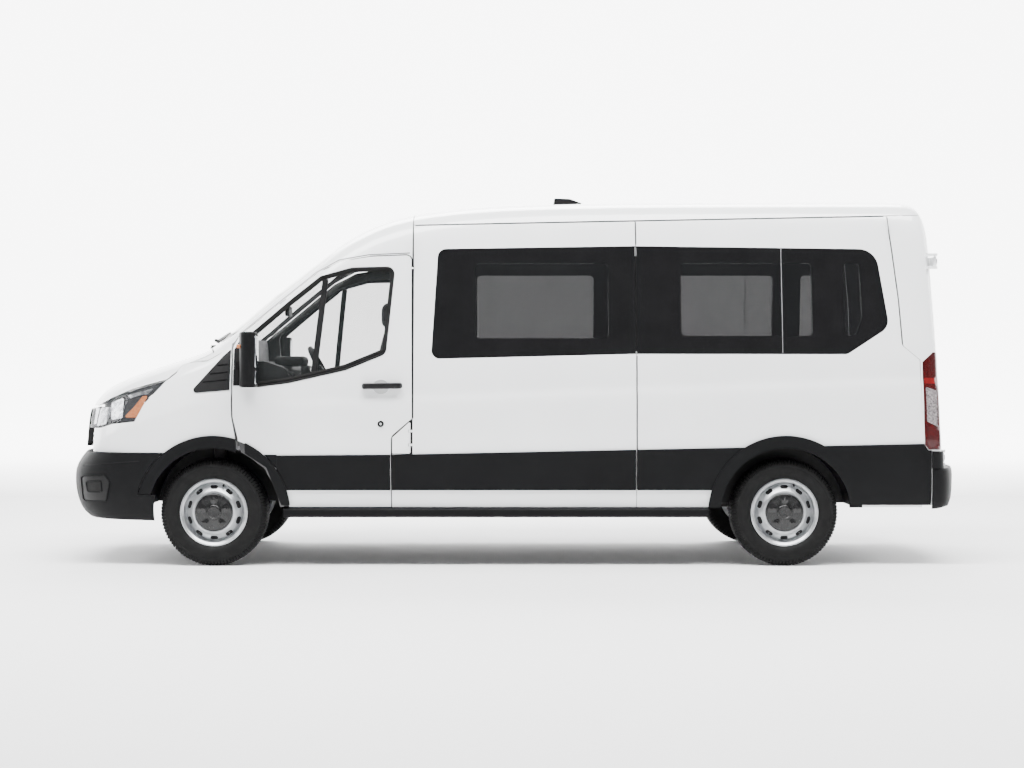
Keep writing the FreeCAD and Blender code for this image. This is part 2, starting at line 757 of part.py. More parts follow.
def running_boards():
    profile = [(905, 318), (1000, 322), (1010, 340), (1006, 372), (985, 384), (905, 384)]
    board = end_prism(profile, [4.0, 10.0, 8.0, 8.0, 6.0, 2.0], -1290.0, 1500.0)
    return both(board)


# Wheels
rim_profile = [(60, -55), (60, 62), (108, 64), (124, 82), (140, 81), (166, 56), (178, 38), (178, -30), (197, -68),
               (199, -97), (222, -97), (222, -90), (204, -84), (204, -60), (186, -28), (186, 28), (201, 42),
               (204, 82), (222, 88), (222, 95), (214, 97), (199, 86), (195, 60), (188, 50), (172, 66), (140, 90),
               (127, 93), (121, 86), (112, 93), (50, 97), (44, 104), (0, 104), (0, 55)]
tyre_profile = [(204.6, 62), (204.6, 81.4), (221.5, 87.6), (262, 116), (318, 113), (346, 97), (351, 80)]
tyre_cavity = [(240, -88), (300, -102), (338, -70), (338, 70), (300, 102), (240, 88)]


def revolved(profile, x, y, side):
    points = [Vector(x, y + side * offset, axle_z + r) for r, offset in profile]
    wire = Part.makePolygon(points + [points[0]])
    return Part.Face(wire).revolve(Vector(x, y, axle_z), Vector(0, 1, 0), 360)


def rim(x, side):
    bore = stub_radius + run_clearance
    profile = [(bore, -55)] + rim_profile[:-1] + [(0, 60), (bore, 60)]
    wheel = revolved(profile, x, side * wheel_y, side)
    for index in range(10):
        angle = math.radians(36.0 * index + 18.0)
        middle = Vector(x + 167.0 * math.cos(angle), side * (wheel_y + 30), axle_z + 167.0 * math.sin(angle))
        across = Vector(-math.sin(angle), 0, math.cos(angle)) * 13.0
        hole = Part.makeCylinder(11.5, 60.0, middle + across, Vector(0, side, 0))
        hole = hole.fuse(Part.makeCylinder(11.5, 60.0, middle - across, Vector(0, side, 0)))
        wheel = wheel.cut(hole)
    return wheel


# Running gear
def knuckle(side):
    x = front_axle_x
    upright = box(x - 32, x + 32, kingpin_y - 28, kingpin_y + 20, axle_z - 120, axle_z + 120)
    stub = drum(x, kingpin_y, wheel_y + 50, stub_radius)
    shoulder = drum(x, kingpin_y, wheel_y - 62, 52)
    arm = box(x - 140, x, kingpin_y - 28, kingpin_y + 2, axle_z - 60, axle_z - 30)
    shape = fused([upright, stub, shoulder, arm])
    for z_low, z_high in ((axle_z - 125, axle_z - 80), (axle_z + 80, axle_z + 125)):
        shape = shape.cut(rod((x, kingpin_y, z_low), (x, kingpin_y, z_high), 12.0 + run_clearance))
    return on_side(shape, side)


def rear_axle():
    x = rear_axle_x
    tube = drum(x, -wheel_y + 62, wheel_y - 62, 44.0)
    stubs = drum(x, -wheel_y - 50, wheel_y + 50, stub_radius)
    middle = Part.makeSphere(150.0, Vector(x, 0, axle_z)).common(box(x - 120, x + 160, -200, 200, 0, 600))
    nose = rod((x + 100, 0, axle_z), (x + 260, 0, axle_z + 6), 55.0)
    backing = [drum(x, s * (wheel_y - 78) - 8, s * (wheel_y - 78) + 8, 150.0) for s in (1, -1)]
    pads = [box(x - 60, x + 60, s * 560 - 40, s * 560 + 40, axle_z + 20, axle_z + 60) for s in (1, -1)]
    return fused([tube, stubs, middle, nose] + backing + pads)


def leaf_springs():
    x = rear_axle_x
    springs = []
    for side in (1, -1):
        y = side * 560.0
        points = [Vector(x + 660, y - 32, 455), Vector(x, y - 32, axle_z + 60 + touch), Vector(x - 700, y - 32, 455)]
        top = [Vector(p.x, p.y, p.z + 22) for p in points]
        edges = [Part.Arc(*points).toShape(), Part.makeLine(points[2], top[2]),
                 Part.Arc(top[2], top[1], top[0]).toShape(), Part.makeLine(top[0], points[0])]
        leaf = Part.Face(Part.Wire(edges)).extrude(Vector(0, 64, 0))
        hangers = [box(x + dx - 30, x + dx + 30, min(side * 428, y + side * 36), max(side * 428, y + side * 36),
                       470, 560) for dx in (640, -680)]
        springs.append(fused([leaf] + hangers))
    return Part.makeCompound(springs)


def fuel_tank():
    return box(-900, 300, 429, 760, 360, floor_z - floor_wall - touch)


# Floor, wheelhouses and inner frame
def inner_form():
    return body_form(door_wall + touch, side_bottom - 60.0)


def floor():
    plate = box(tail_x - 50, 1800, -1010, 1010, floor_z - floor_wall, floor_z).common(inner_form())
    plate = plate.cut(box(pillar_x - 6, 1900, 940, 1100, 500, 700)).cut(box(pillar_x - 6, 1900, -1100, -940, 500, 700))
    sill = box(-1270, 1440, 820, 936, 392, floor_z - floor_wall)
    boards = box(-1270, 1440, 890, 936, 384.3, 400)
    whole = fused([plate, sill, boards, mirrored(sill), mirrored(boards)])
    for x, y in ((front_axle_x, 540.0), (rear_axle_x, 716.0)):
        cutter = arch_prism(x, arch_metal, y, 1300.0)
        whole = whole.cut(cutter).cut(mirrored(cutter))
    return whole


# Interior
def dashboard():
    profile = [(1799.7, 1010), (1799.7, 1330), (1640, 1345), (1500, 1300), (1450, 1200), (1470, 1050), (1560, 1000)]
    dash = side_prism(profile, [5.0, 20.0, 30.0, 60.0, 50.0, 40.0, 20.0], -880.0, 880.0)
    return dash.common(body_form(door_wall + 14.0, 300.0))


def steering_wheel():
    centre = Vector(1290, 400, 1270)
    ring = Part.makeTorus(185.0, 16.0)
    hub = Part.makeCylinder(52.0, 34.0, Vector(0, 0, -20))
    spokes = [box(20, 180, -14, 14, -12, 4), box(-180, -20, -14, 14, -12, 4), box(-14, 14, -180, -20, -12, 4)]
    column = Part.makeCylinder(30.0, 190.0, Vector(0, 0, -205))
    shape = fused([ring, hub] + spokes + [column])
    shape.Placement = FreeCAD.Placement(centre, FreeCAD.Rotation(Vector(0, 1, 0), -62.0))
    return shape.cut(dashboard().copy())


def seat_solid(x, y_low, y_high, base_z, back_top):
    cushion = box(x - 20, x + 470, y_low, y_high, base_z, base_z + 120)
    back_profile = [(x, base_z + 60), (x + 110, base_z + 60), (x + 20, back_top), (x - 70, back_top)]
    back = side_prism(back_profile, [5.0, 20.0, 35.0, 35.0], y_low, y_high)
    return fused([cushion, back])


def front_seats():
    seats = []
    for y in (400.0, -400.0):
        seat = seat_solid(850.0, y - 250, y + 250, 930.0, 1560.0)
        head = box(790, 880, y - 120, y + 120, 1572, 1740)
        posts = [rod((835, y + dy, 1556), (835, y + dy, 1580), 8.0) for dy in (-60, 60)]
        plinth = box(860, 1290, y - 200, y + 200, floor_z, 930)
        seats.append(fused([seat, head, plinth] + posts))
    return Part.makeCompound(seats)


bench_rows = [(-60.0, -380.0, 880.0), (-860.0, -380.0, 880.0), (-1640.0, -380.0, 640.0), (-2480.0, -640.0, 640.0)]


def rear_seats():
    benches = []
    for x, y_low, y_high in bench_rows:
        bench = seat_solid(x, y_low, y_high, 990.0, 1480.0)
        legs = [box(x + 60, x + 400, y - 25, y + 25, floor_z, 992) for y in (y_low + 120, y_high - 120)]
        benches.append(fused([bench] + legs))
    return Part.makeCompound(benches)


def front_panel():
    upper = box(2600, 2660, -800, 800, 640, 1010).common(body_form(70.0 + touch, 300.0))
    arms = box(2640, 3000, -300, 300, 870, 900).common(body_form(30.0 + touch, 300.0))
    lower = box(2600, 2660, -395.7, 395.7, 480.0, 660)
    window = box(2500, 2700, -380, 380, 600, 860)
    return fused([upper, arms, lower]).cut(window)


def antenna():
    outline = [(-510, 2420), (-500, 2462), (-420, 2492), (-310, 2496), (-296, 2420)]
    fin = side_prism(outline, [0.0, 5.0, 20.0, 6.0, 0.0], -24.0, 24.0)
    return fin.cut(body_form(-touch))
def skin_height(x, y):
    line = Part.makeLine(Vector(x, y, 700), Vector(x, y, 2700))
    return max(v.Point.z for v in line.common(body_form()).Vertexes)


def hood_hinge_spot(side):
    return front_axle_x + 57.0 - hood_hinge_back, side * hood_hinge_y, hood_hinge_z


def rear_door_edge(z):
    return 868.0 if z < 1500.0 else 868.0 - (z - 1500.0) * 68.0 / 630.0


def flap_axis():
    return pillar_x + 19.0, half_width - 16.0


def flap_eyes():
    x, y = flap_axis()
    pieces = []
    for z in flap_eye_heights:
        arm = box(pillar_x - 20, x, y - 5, y + 5.5, z, z + 14)
        pieces.append(arm.fuse(rod((x, y, z), (x, y, z + 14), 6.0)))
    pin = rod((x, y, flap_eye_heights[0] - 20), (x, y, flap_eye_heights[1] + 34), 3.0)
    return fused(pieces + [pin])


def flare(axle_x):
    ring = layer(-flare_out, -touch).common(drum(axle_x, 300, 1300, flare_radius))
    lip = layer(-flare_out, lip_depth).common(drum(axle_x, 300, 1300, arch_metal - touch))
    return ring.fuse(lip).cut(arch_prism(axle_x, arch_radius))


def wheelhouses():
    door_side = box(1000, door_front_x + 18, 928, 1300, 300, 1000)
    front = wheelhouse(front_axle_x, 540.0, door_side)
    rear = wheelhouse(rear_axle_x, 716.0, box(-100, -90, 0, 10, 0, 10))
    return Part.makeCompound([front, mirrored(front), rear, mirrored(rear)])


def firewall():
    inside = body_form(door_wall + door_swing_room, side_bottom - 60.0)
    plate = box(firewall_x, firewall_x + 26, -930, 930, 590 + touch, 1500).common(inside)
    cutter = arch_prism(front_axle_x, arch_metal, 540.0, 1300.0)
    plate = plate.cut(cutter).cut(mirrored(cutter))
    post = box(firewall_x + 26, firewall_x + 92, 880, 930, 600, 1390).common(inside).cut(cutter)
    pieces = [plate, post, mirrored(post)]
    for piece in hinge_arms():
        pieces += [piece, mirrored(piece)]
    low = box(1700, firewall_x + 26, -530, 530, floor_z + touch, floor_z + 30)
    return fused(pieces + [low])


def hood_arm(side):
    x, y, z = hood_hinge_spot(side)
    near = skin_height(x + 75.0, y) - hood_wall + 4.0
    far = skin_height(x + 130.0, y) - hood_wall + 4.0
    arm = side_prism([(x, z + 8), (x, z - 8), (x + 62, z - 60), (x + 130, far - 24), (x + 130, far),
                      (x + 75, near)], 0.0, y - 14, y + 14)
    eye = drum(x, y - 14, y + 14, hinge_barrel, z)
    return arm.fuse(eye).cut(drum(x, y - 20, y + 20, 5.0 + pin_clearance, z))


def hood_slot(side):
    x, y, z = hood_hinge_spot(side)
    return box(x - 18, x + 140, y - 22, y + 22, z - 95, z + 80)


def bumper_front():
    cavity = front_skirt(bumper_wall, 16.0, 60.0, 60.0)
    shell = front_skirt(0.0).cut(cavity).cut(front_skirt(60.0, -20.0, 60.0, 60.0))
    above = box(1000, 3000, 0, 1300, bumper_seam_z - seam / 2, 1300)
    flare_room = arch_prism(front_axle_x, flare_radius + seam).common(above)
    shell = shell.cut(both(flare_room.fuse(arch_prism(front_axle_x, bumper_arch))))
    intake = end_prism([(-430, 545), (430, 545), (400, 455), (-400, 455)], 20.0, 2700, 3100)
    shell = shell.cut(intake).cut(rod((2800, tow_eye_y, tow_eye_z), (3100, tow_eye_y, tow_eye_z), 30.0))
    strip = front_skirt(slat_front, 16.0, 60.0, 60.0).cut(front_skirt(slat_back, 16.0, 60.0, 60.0))
    slats = [strip.common(box(2700, 3100, -440, 440, z, z + 14)) for z in (474, 512)]
    return fused([shell] + slats)


def bumper_rear():
    cavity = rear_skirt(bumper_wall, 16.0, 60.0, 60.0)
    shell = rear_skirt(0.0).cut(body_form(-touch, 300.0)).cut(cavity)
    zone = side_slab([(-2748, 642), (-2861, 642), (-2861, 752), (-2748, 757)], 0.0, 0.0)
    zone = zone.cut(rear_door_opening(moving_gap)).cut(box(-2950, -2700, 0, 935, 600, 800))
    caps = body_form(-15.0).common(zone).cut(body_form(-touch, 300.0))
    return fused([shell, caps, mirrored(caps)])


def cladding():
    sheet = layer(-clad_out, -touch)
    pieces = []
    front = flare(front_axle_x).cut(side_slab(door_outline(False), 0.0, moving_gap / 2))
    front = front.common(box(door_axis()[0] + flare_end_ahead, 2600, 0, 1300, 300, 1000))
    front = front.cut(box(front_axle_x, 2600, 0, 1300, 300, bumper_seam_z + seam / 2))
    rear_ring = flare(rear_axle_x)
    below = side_slab([(-2200, side_bottom), (-2200, 520), (-2744, 520), (-2744, side_bottom)], 0.0, 0.0)
    rear_zone = clad_band(mid_cut_x - seam, -2744).fuse(below)
    rear_band = sheet.common(rear_zone).cut(arch_prism(rear_axle_x, flare_radius + 0.1))
    rear_band = rear_band.cut(side_slab(tail_lamp_outline(), 0.0, seam))
    for side in (1, -1):
        first_x = flap_front_x - 4.0 if side > 0 else pillar_x - seam
        middle = sheet.common(clad_band(first_x, mid_cut_x + seam))
        for shape in front.Solids + [rear_ring, middle] + rear_band.Solids:
            pieces.append(on_side(shape, side))
    return Part.makeCompound(pieces)


def wheelhouse(x, inner_y, limit):
    outside = drum(x, inner_y, 1010, arch_metal - touch)
    inside = arch_prism(x, arch_radius + 5.0, inner_y + 8.0, 1300.0)
    shell = outside.cut(inside).common(box(x - 500, x + 500, 0, 1300, 400, 900))
    return shell.common(body_form(lip_depth + touch, 300.0)).cut(limit)


def hoops():
    ring = layer(door_wall + touch, door_wall + hoop_wall)
    pillar_b = ring.common(box(pillar_x - 96, pillar_x - 6, -1300, 1300, floor_z, 2600))
    header = ring.common(box(pillar_x - 8, pillar_x + 60, -1300, 1300, 2110, 2600))
    pillar_c = ring.common(box(mid_cut_x - 100, mid_cut_x + 100, -1300, 1300, floor_z, 2600))
    return Part.makeCompound([fused([pillar_b, header]), pillar_c])


def chassis_rails():
    rail = box(-2770, 2890, rail_y - 16, rail_y + 16, rail_bottom, floor_z - floor_wall)
    rail = rail.cut(box(front_axle_x - 420, 2900, 300, 500, 590, 700))
    rail = rail.fuse(box(jack_x - 30, jack_x + 30, rail_y - 18, rail_y + 16, rail_bottom - jack_drop, rail_bottom + 4))
    for x in towbar_hole_x:
        rail = rail.cut(rod((x, rail_y, rail_bottom - 20), (x, rail_y, floor_z), towbar_hole_radius))
    members = [box(x, x + 60, -396, 396, 500, 580) for x in (2661, 1180, -300, -1200, -2500)]
    inner = front_skirt(slat_back + touch, 0.0, 60.0, 60.0)
    beam = box(2600, 3000, -760, 760, 470, 590).common(inner).cut(front_skirt(90.0, 0.0, 60.0, 60.0))
    back = rear_skirt(bumper_wall + touch, 0.0, 60.0, 60.0)
    tail = box(-2990, tail_x + 2, -620, 620, 470, 590).common(back)
    socket = rod((2850, tow_eye_y, tow_eye_z), (2930, tow_eye_y, tow_eye_z), 18.0)
    whole = fused([rail, mirrored(rail), beam, socket] + members)
    whole = whole.cut(rod((2860, tow_eye_y, tow_eye_z), (3000, tow_eye_y, tow_eye_z), tow_eye_radius))
    return Part.makeCompound(whole.Solids + tail.Solids)


def engine():
    return box(1900, 2560, -270, 270, 440, 1040)


def driveline():
    gearbox = box(1250, 1900 - touch, -120, 120, 400, 555)
    shaft = rod((rear_axle_x + 262, 0, axle_z + 6), (1249, 0, 450), 36.0)
    return Part.makeCompound([gearbox, shaft])


def exhaust():
    y = -230.0
    front = rod((1899, y, 470), (700, y, 440), 28.0)
    muffler = rod((700, y, 440), (60, y, 440), 95.0)
    hangers = [box(x, x + 20, y - 15, y + 15, 500, floor_z - floor_wall - touch) for x in (200, 560)]
    return fused([front, muffler, rod((60, y, 440), (-1150, y, 440), 28.0)] + hangers)


def front_suspension():
    x = front_axle_x
    low = axle_z - 121.0
    arm = top_prism([(x - 26, kingpin_y + 18), (x + 26, kingpin_y + 18), (x + 26, 700), (x + 190, 420),
                     (x + 120, 420), (x, 600), (x - 120, 420), (x - 190, 420), (x - 26, 700)], 0.0, low - 28, low)
    lower_pin = rod((x, kingpin_y, low - 5), (x, kingpin_y, low + 38), 12.0)
    high = axle_z + 121.0
    upper = box(x - 26, x + 26, 612, kingpin_y + 18, high, high + 22)
    upper_pin = rod((x, kingpin_y, high + 5), (x, kingpin_y, high - 38), 12.0)
    strut = rod((x, 634, high + 22), (x, 634, 778.5), 42.0)
    piston = rod((x, 634, high), (x, 634, high + 30), 26.0)
    side_piece = fused([arm, lower_pin])
    strut_piece = fused([upper, upper_pin, strut, piston])
    cross = box(x - 200, x + 200, -420, 420, low - 28, low + 40)
    cross = cross.cut(box(x - 130, x + 130, -300, 300, low - 60, low + 80))
    rack = rod((x - 160, -470, axle_z - 45), (x - 160, 470, axle_z - 45), 26.0)
    rack_feet = [box(x - 190, x - 140, y, y + 30, low + 20, axle_z - 45) for y in (-380, 350)]
    legs = [box(x + dx, x + dx + 70, 396, 420, low, 480) for dx in (-200, 130)]
    whole = fused([cross, rack, side_piece, mirrored(side_piece)] + rack_feet + legs
                  + [mirrored(leg) for leg in legs])
    return Part.makeCompound(whole.Solids + [strut_piece, mirrored(strut_piece)])


def tyre(x, side):
    outer = tyre_profile + [(r, -y) for r, y in reversed(tyre_profile)]
    return revolved(outer + tyre_cavity, x, side * wheel_y, side)


parts = {}


def body_panels():
    parts["hood"] = hood()
    parts["cab_frame"] = cab_frame()
    parts["windscreen"] = windscreen()
    parts["roof"] = roof()
    parts["fenders"] = Part.makeCompound([fender(1), fender(-1)])
    parts["headlamps"] = both(headlamp())
    parts["grille"] = grille()
    parts["side_panel_left"] = side_panel(1)
    parts["sliding_door"] = side_panel(-1)
    parts["quarter_panels"] = both(quarter_panel(1))
    parts["side_glass"] = side_glass()
    corners, sill = rear_corners()
    parts["rear_corners"] = Part.makeCompound(corners.Solids + sill.Solids)
    parts["tail_lamps"] = both(tail_lamp())
    parts["fuel_flap"] = fuel_flap()
    parts["antenna"] = antenna()


def doors():
    for side, name in ((1, "left"), (-1, "right")):
        parts["front_door_" + name] = front_door(side)
        parts["front_door_glass_" + name] = door_glass(side)
        parts["door_trim_" + name] = door_trim(side)
        parts["rear_door_" + name] = rear_door(side)
        parts["rear_glass_" + name] = rear_glass(side)


def lower_body():
    parts["bumper_front"] = bumper_front()
    parts["bumper_rear"] = bumper_rear()
    parts["cladding"] = cladding()
    parts["running_boards"] = running_boards()
    parts["floor"] = floor()
    parts["wheelhouses"] = wheelhouses()
    parts["firewall"] = firewall()
    parts["inner_frame"] = hoops()
    parts["front_panel"] = front_panel()


def cabin():
    parts["dashboard"] = dashboard()
    parts["steering_wheel"] = steering_wheel()
    parts["front_seats"] = front_seats()
    parts["rear_seats"] = rear_seats()


def running_gear():
    parts["chassis_rails"] = chassis_rails()
    parts["engine"] = engine()
    parts["driveline"] = driveline()
    parts["exhaust"] = exhaust()
    parts["fuel_tank"] = fuel_tank()
    parts["front_suspension"] = front_suspension()
    parts["rear_axle"] = Part.makeCompound([rear_axle()] + leaf_springs().Solids)
    for side, name in ((1, "left"), (-1, "right")):
        parts["knuckle_" + name] = knuckle(side)
        for place, x in (("front", front_axle_x), ("rear", rear_axle_x)):
            parts["rim_" + place + "_" + name] = rim(x, side)
            parts["tyre_" + place + "_" + name] = tyre(x, side)


def write_parts():
    os.makedirs("parts", exist_ok=True)
    for name, shape in parts.items():
        shape.exportStep("parts/" + name + ".step")
        print(name, len(shape.Solids), "solids", round(shape.Volume / 1e6, 2), "litres", shape.isValid())


body_panels()
doors()
lower_body()
cabin()
running_gear()
write_parts()
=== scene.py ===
import math

import bmesh
import bpy
from mathutils import Matrix, Vector
from mathutils.bvhtree import BVHTree


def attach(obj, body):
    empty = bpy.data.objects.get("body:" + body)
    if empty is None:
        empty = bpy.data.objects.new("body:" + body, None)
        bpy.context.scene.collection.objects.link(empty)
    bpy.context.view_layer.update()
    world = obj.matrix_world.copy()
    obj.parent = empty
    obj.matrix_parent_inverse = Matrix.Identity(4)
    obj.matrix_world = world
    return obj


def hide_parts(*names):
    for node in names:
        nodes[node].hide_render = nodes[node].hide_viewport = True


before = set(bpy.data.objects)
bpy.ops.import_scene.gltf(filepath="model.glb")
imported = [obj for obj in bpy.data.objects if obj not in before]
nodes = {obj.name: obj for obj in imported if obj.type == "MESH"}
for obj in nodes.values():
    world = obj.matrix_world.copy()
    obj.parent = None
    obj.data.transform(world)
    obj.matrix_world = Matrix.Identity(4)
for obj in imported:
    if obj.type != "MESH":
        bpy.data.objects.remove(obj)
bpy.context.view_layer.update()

# Places shared by many pieces, in metres
place = {"frontAxle": 1.96, "rearAxle": -1.79, "axleHeight": 0.351, "wheelY": 0.866,
         "tail": -2.838, "tailBottom": 0.385, "lean": 0.04}

# Camera at the photograph's place: side on, a little below the middle of the body
view = {"x": 0.165, "y": 13.883, "z": 1.3, "lens": 69.15, "shiftX": 0.0244, "shiftY": -0.0156}
cameraData = bpy.data.cameras.new("camera")
cameraData.lens = view["lens"]
cameraData.shift_x = view["shiftX"]
cameraData.shift_y = view["shiftY"]
cameraData.clip_end = 200
camera = bpy.data.objects.new("camera", cameraData)
camera.location = (view["x"], view["y"], view["z"])
camera.rotation_euler = (math.radians(90), 0, math.radians(180))
bpy.context.scene.collection.objects.link(camera)
bpy.context.scene.camera = camera

# Pale studio: floor that curves up into a back wall, and soft light
studio = {
    "world": 0.5, "worldTint": (0.96, 0.98, 1, 1),
    "glowLow": 0.02, "glowHigh": 6.0, "glowStart": -6.0, "glowEnd": -15.0,
    "halfWidth": 60,
    "profile": [(40, 0), (-14, 0), (-18, 0.6), (-21, 2.4), (-22.5, 5), (-23, 10), (-23, 30)],
}
lights = {
    "key": {"power": 3750, "size": (13, 3.5), "at": (0.3, 4.6, 9.5), "aim": (0, 0.6, 1)},
    "fill": {"power": 1300, "size": (10, 4), "at": (0, -7, 8), "aim": (0, 0, 1)},
    "front": {"power": 500, "size": (4, 4), "at": (10, 1.5, 4.5), "aim": (0, 0, 1)},
    "rear": {"power": 500, "size": (4, 4), "at": (-10, 0.5, 4.5), "aim": (0, 0, 1)},
}


def fromBmesh(name, bm, angle=35):
    bmesh.ops.recalc_face_normals(bm, faces=bm.faces)
    mesh = bpy.data.meshes.new(name)
    bm.to_mesh(mesh)
    bm.free()
    mesh.shade_smooth()
    mesh.set_sharp_from_angle(angle=math.radians(angle))
    obj = bpy.data.objects.new(name, mesh)
    bpy.context.scene.collection.objects.link(obj)
    return obj


def newVerts(made):
    return [item for item in made["geom"] if isinstance(item, bmesh.types.BMVert)]


def makeStage():
    bm = bmesh.new()
    spots = [bm.verts.new((-studio["halfWidth"], y, z)) for y, z in studio["profile"]]
    edges = [bm.edges.new(pair) for pair in zip(spots, spots[1:])]
    made = bmesh.ops.extrude_edge_only(bm, edges=edges)
    bmesh.ops.translate(bm, vec=(2 * studio["halfWidth"], 0, 0), verts=newVerts(made))
    stage = fromBmesh("studio_floor", bm, angle=60)
    return stage


def addLight(name, light):
    data = bpy.data.lights.new(name, "AREA")
    data.shape = "RECTANGLE"
    data.size, data.size_y = light["size"]
    data.energy = light["power"]
    obj = bpy.data.objects.new(name, data)
    obj.location = light["at"]
    reach = Vector(light["aim"]) - Vector(light["at"])
    obj.rotation_euler = reach.to_track_quat("-Z", "Y").to_euler()
    bpy.context.scene.collection.objects.link(obj)


floor = makeStage()
for name, light in lights.items():
    addLight(name, light)
world = bpy.data.worlds.new("studio")
world.use_nodes = True
world.node_tree.nodes["Background"].inputs["Color"].default_value = studio["worldTint"]
world.node_tree.nodes["Background"].inputs["Strength"].default_value = studio["world"]
bpy.context.scene.world = world
print("stage done")


# Materials
class Shader:
    def __init__(self, name):
        self.material = bpy.data.materials.new(name)
        self.material.use_nodes = True
        self.tree = self.material.node_tree
        self.surface = self.tree.nodes["Principled BSDF"]
        self.spots = self.add("ShaderNodeTexCoord")
        self.coords = self.spots.outputs["Object"]

    def add(self, kind):
        return self.tree.nodes.new(kind)

    def link(self, source, target):
        self.tree.links.new(source, target)

    def set(self, **values):
        for key, value in values.items():
            self.surface.inputs[key.replace("_", " ")].default_value = value
        return self

    def noise(self, scale, detail=3):
        node = self.add("ShaderNodeTexNoise")
        node.inputs["Scale"].default_value = scale
        node.inputs["Detail"].default_value = detail
        self.link(self.coords, node.inputs["Vector"])
        return node.outputs["Fac"]

    def waves(self, scale, direction, distortion):
        node = self.add("ShaderNodeTexWave")
        node.bands_direction = direction
        node.inputs["Scale"].default_value = scale
        node.inputs["Distortion"].default_value = distortion
        self.link(self.coords, node.inputs["Vector"])
        return node.outputs["Fac"]

    def ramp(self, value, stops):
        node = self.add("ShaderNodeValToRGB")
        for element, (position, colour) in zip(node.color_ramp.elements, stops):
            element.position = position
            element.color = (*colour, 1)
        self.link(value, node.inputs["Fac"])
        return node.outputs["Color"]

    def maths(self, kind, *values):
        node = self.add("ShaderNodeMath")
        node.operation = kind
        for socket, value in zip(node.inputs, values):
            if isinstance(value, (int, float)):
                socket.default_value = value
            else:
                self.link(value, socket)
        return node.outputs["Value"]

    def parts(self):
        node = self.add("ShaderNodeSeparateXYZ")
        self.link(self.coords, node.inputs["Vector"])
        return node.outputs["X"], node.outputs["Y"], node.outputs["Z"]

    def within(self, value, low, high):
        above = self.maths("GREATER_THAN", value, low)
        return self.maths("MULTIPLY", above, self.maths("LESS_THAN", value, high))

    def inwards(self, middle, turn):
        x, y, z = self.parts()
        outward = self.add("ShaderNodeCombineXYZ")
        self.link(y, outward.inputs["Y"])
        self.link(self.maths("SUBTRACT", z, middle), outward.inputs["Z"])
        facing = self.add("ShaderNodeVectorMath")
        facing.operation = "DOT_PRODUCT"
        self.link(self.spots.outputs["Normal"], facing.inputs[0])
        self.link(outward.outputs["Vector"], facing.inputs[1])
        return self.maths("LESS_THAN", facing.outputs["Value"], turn)

    def mixed(self, share, first, second):
        node = self.add("ShaderNodeMix")
        node.data_type = "RGBA"
        self.link(share, node.inputs["Factor"])
        self.link(first, node.inputs["A"])
        node.inputs["B"].default_value = (*second, 1)
        return [socket for socket in node.outputs if socket.type == "RGBA"][0]

    def spread(self, value, low, high, start=0.0, end=1.0):
        node = self.add("ShaderNodeMapRange")
        node.inputs["From Min"].default_value = start
        node.inputs["From Max"].default_value = end
        node.inputs["To Min"].default_value = low
        node.inputs["To Max"].default_value = high
        self.link(value, node.inputs["Value"])
        return node.outputs["Result"]

    def colour(self, output):
        self.link(output, self.surface.inputs["Base Color"])
        return self

    def rough(self, output):
        self.link(output, self.surface.inputs["Roughness"])
        return self

    def bump(self, height, strength, distance):
        node = self.add("ShaderNodeBump")
        node.inputs["Strength"].default_value = strength
        node.inputs["Distance"].default_value = distance
        self.link(height, node.inputs["Height"])
        self.link(node.outputs["Normal"], self.surface.inputs["Normal"])
        return self


def plainTones(name, dark, light, scale, low, high, grain=0, depth=0.0004, **values):
    shader = Shader(name).set(**values)
    shader.colour(shader.ramp(shader.noise(scale), [(0.3, dark), (0.7, light)]))
    shader.rough(shader.spread(shader.noise(scale * 2.3), low, high))
    if grain:
        shader.bump(shader.noise(grain, 2), 0.35, depth)
    return shader.material


cloth = {"weave": 160, "wander": 0.8, "mottle": 60, "relief": 0.0006}


def clothMaterial(name, dark, light):
    shader = Shader(name).set(Sheen_Weight=0.35, Sheen_Roughness=0.5)
    threads = [shader.waves(cloth["weave"], way, cloth["wander"]) for way in ("Y", "Z")]
    shader.colour(shader.ramp(shader.noise(cloth["mottle"], 5), [(0.3, dark), (0.7, light)]))
    shader.rough(shader.spread(shader.noise(9), 0.75, 0.92))
    shader.bump(shader.maths("MULTIPLY", *threads), 0.4, cloth["relief"])
    return shader.material


# The metal is white outside; its faces turned towards the middle of the body are painted near-black, partly
# for dark lining and partly as painted shade of the interior; charcoal around the wheels and black behind the
# side glass
paintwork = {
    "inside": (0.022, 0.022, 0.023), "insideMiddle": 1.3, "insideTurn": -0.15,
    "arch": (0.008, 0.008, 0.009), "archReach": 0.5,
    "behind": (0.004, 0.004, 0.004), "behindX": (-2.36, 0.45), "behindZ": (1.41, 2.04),
    "slope": 1.544, "slopeStart": 0.01,
}


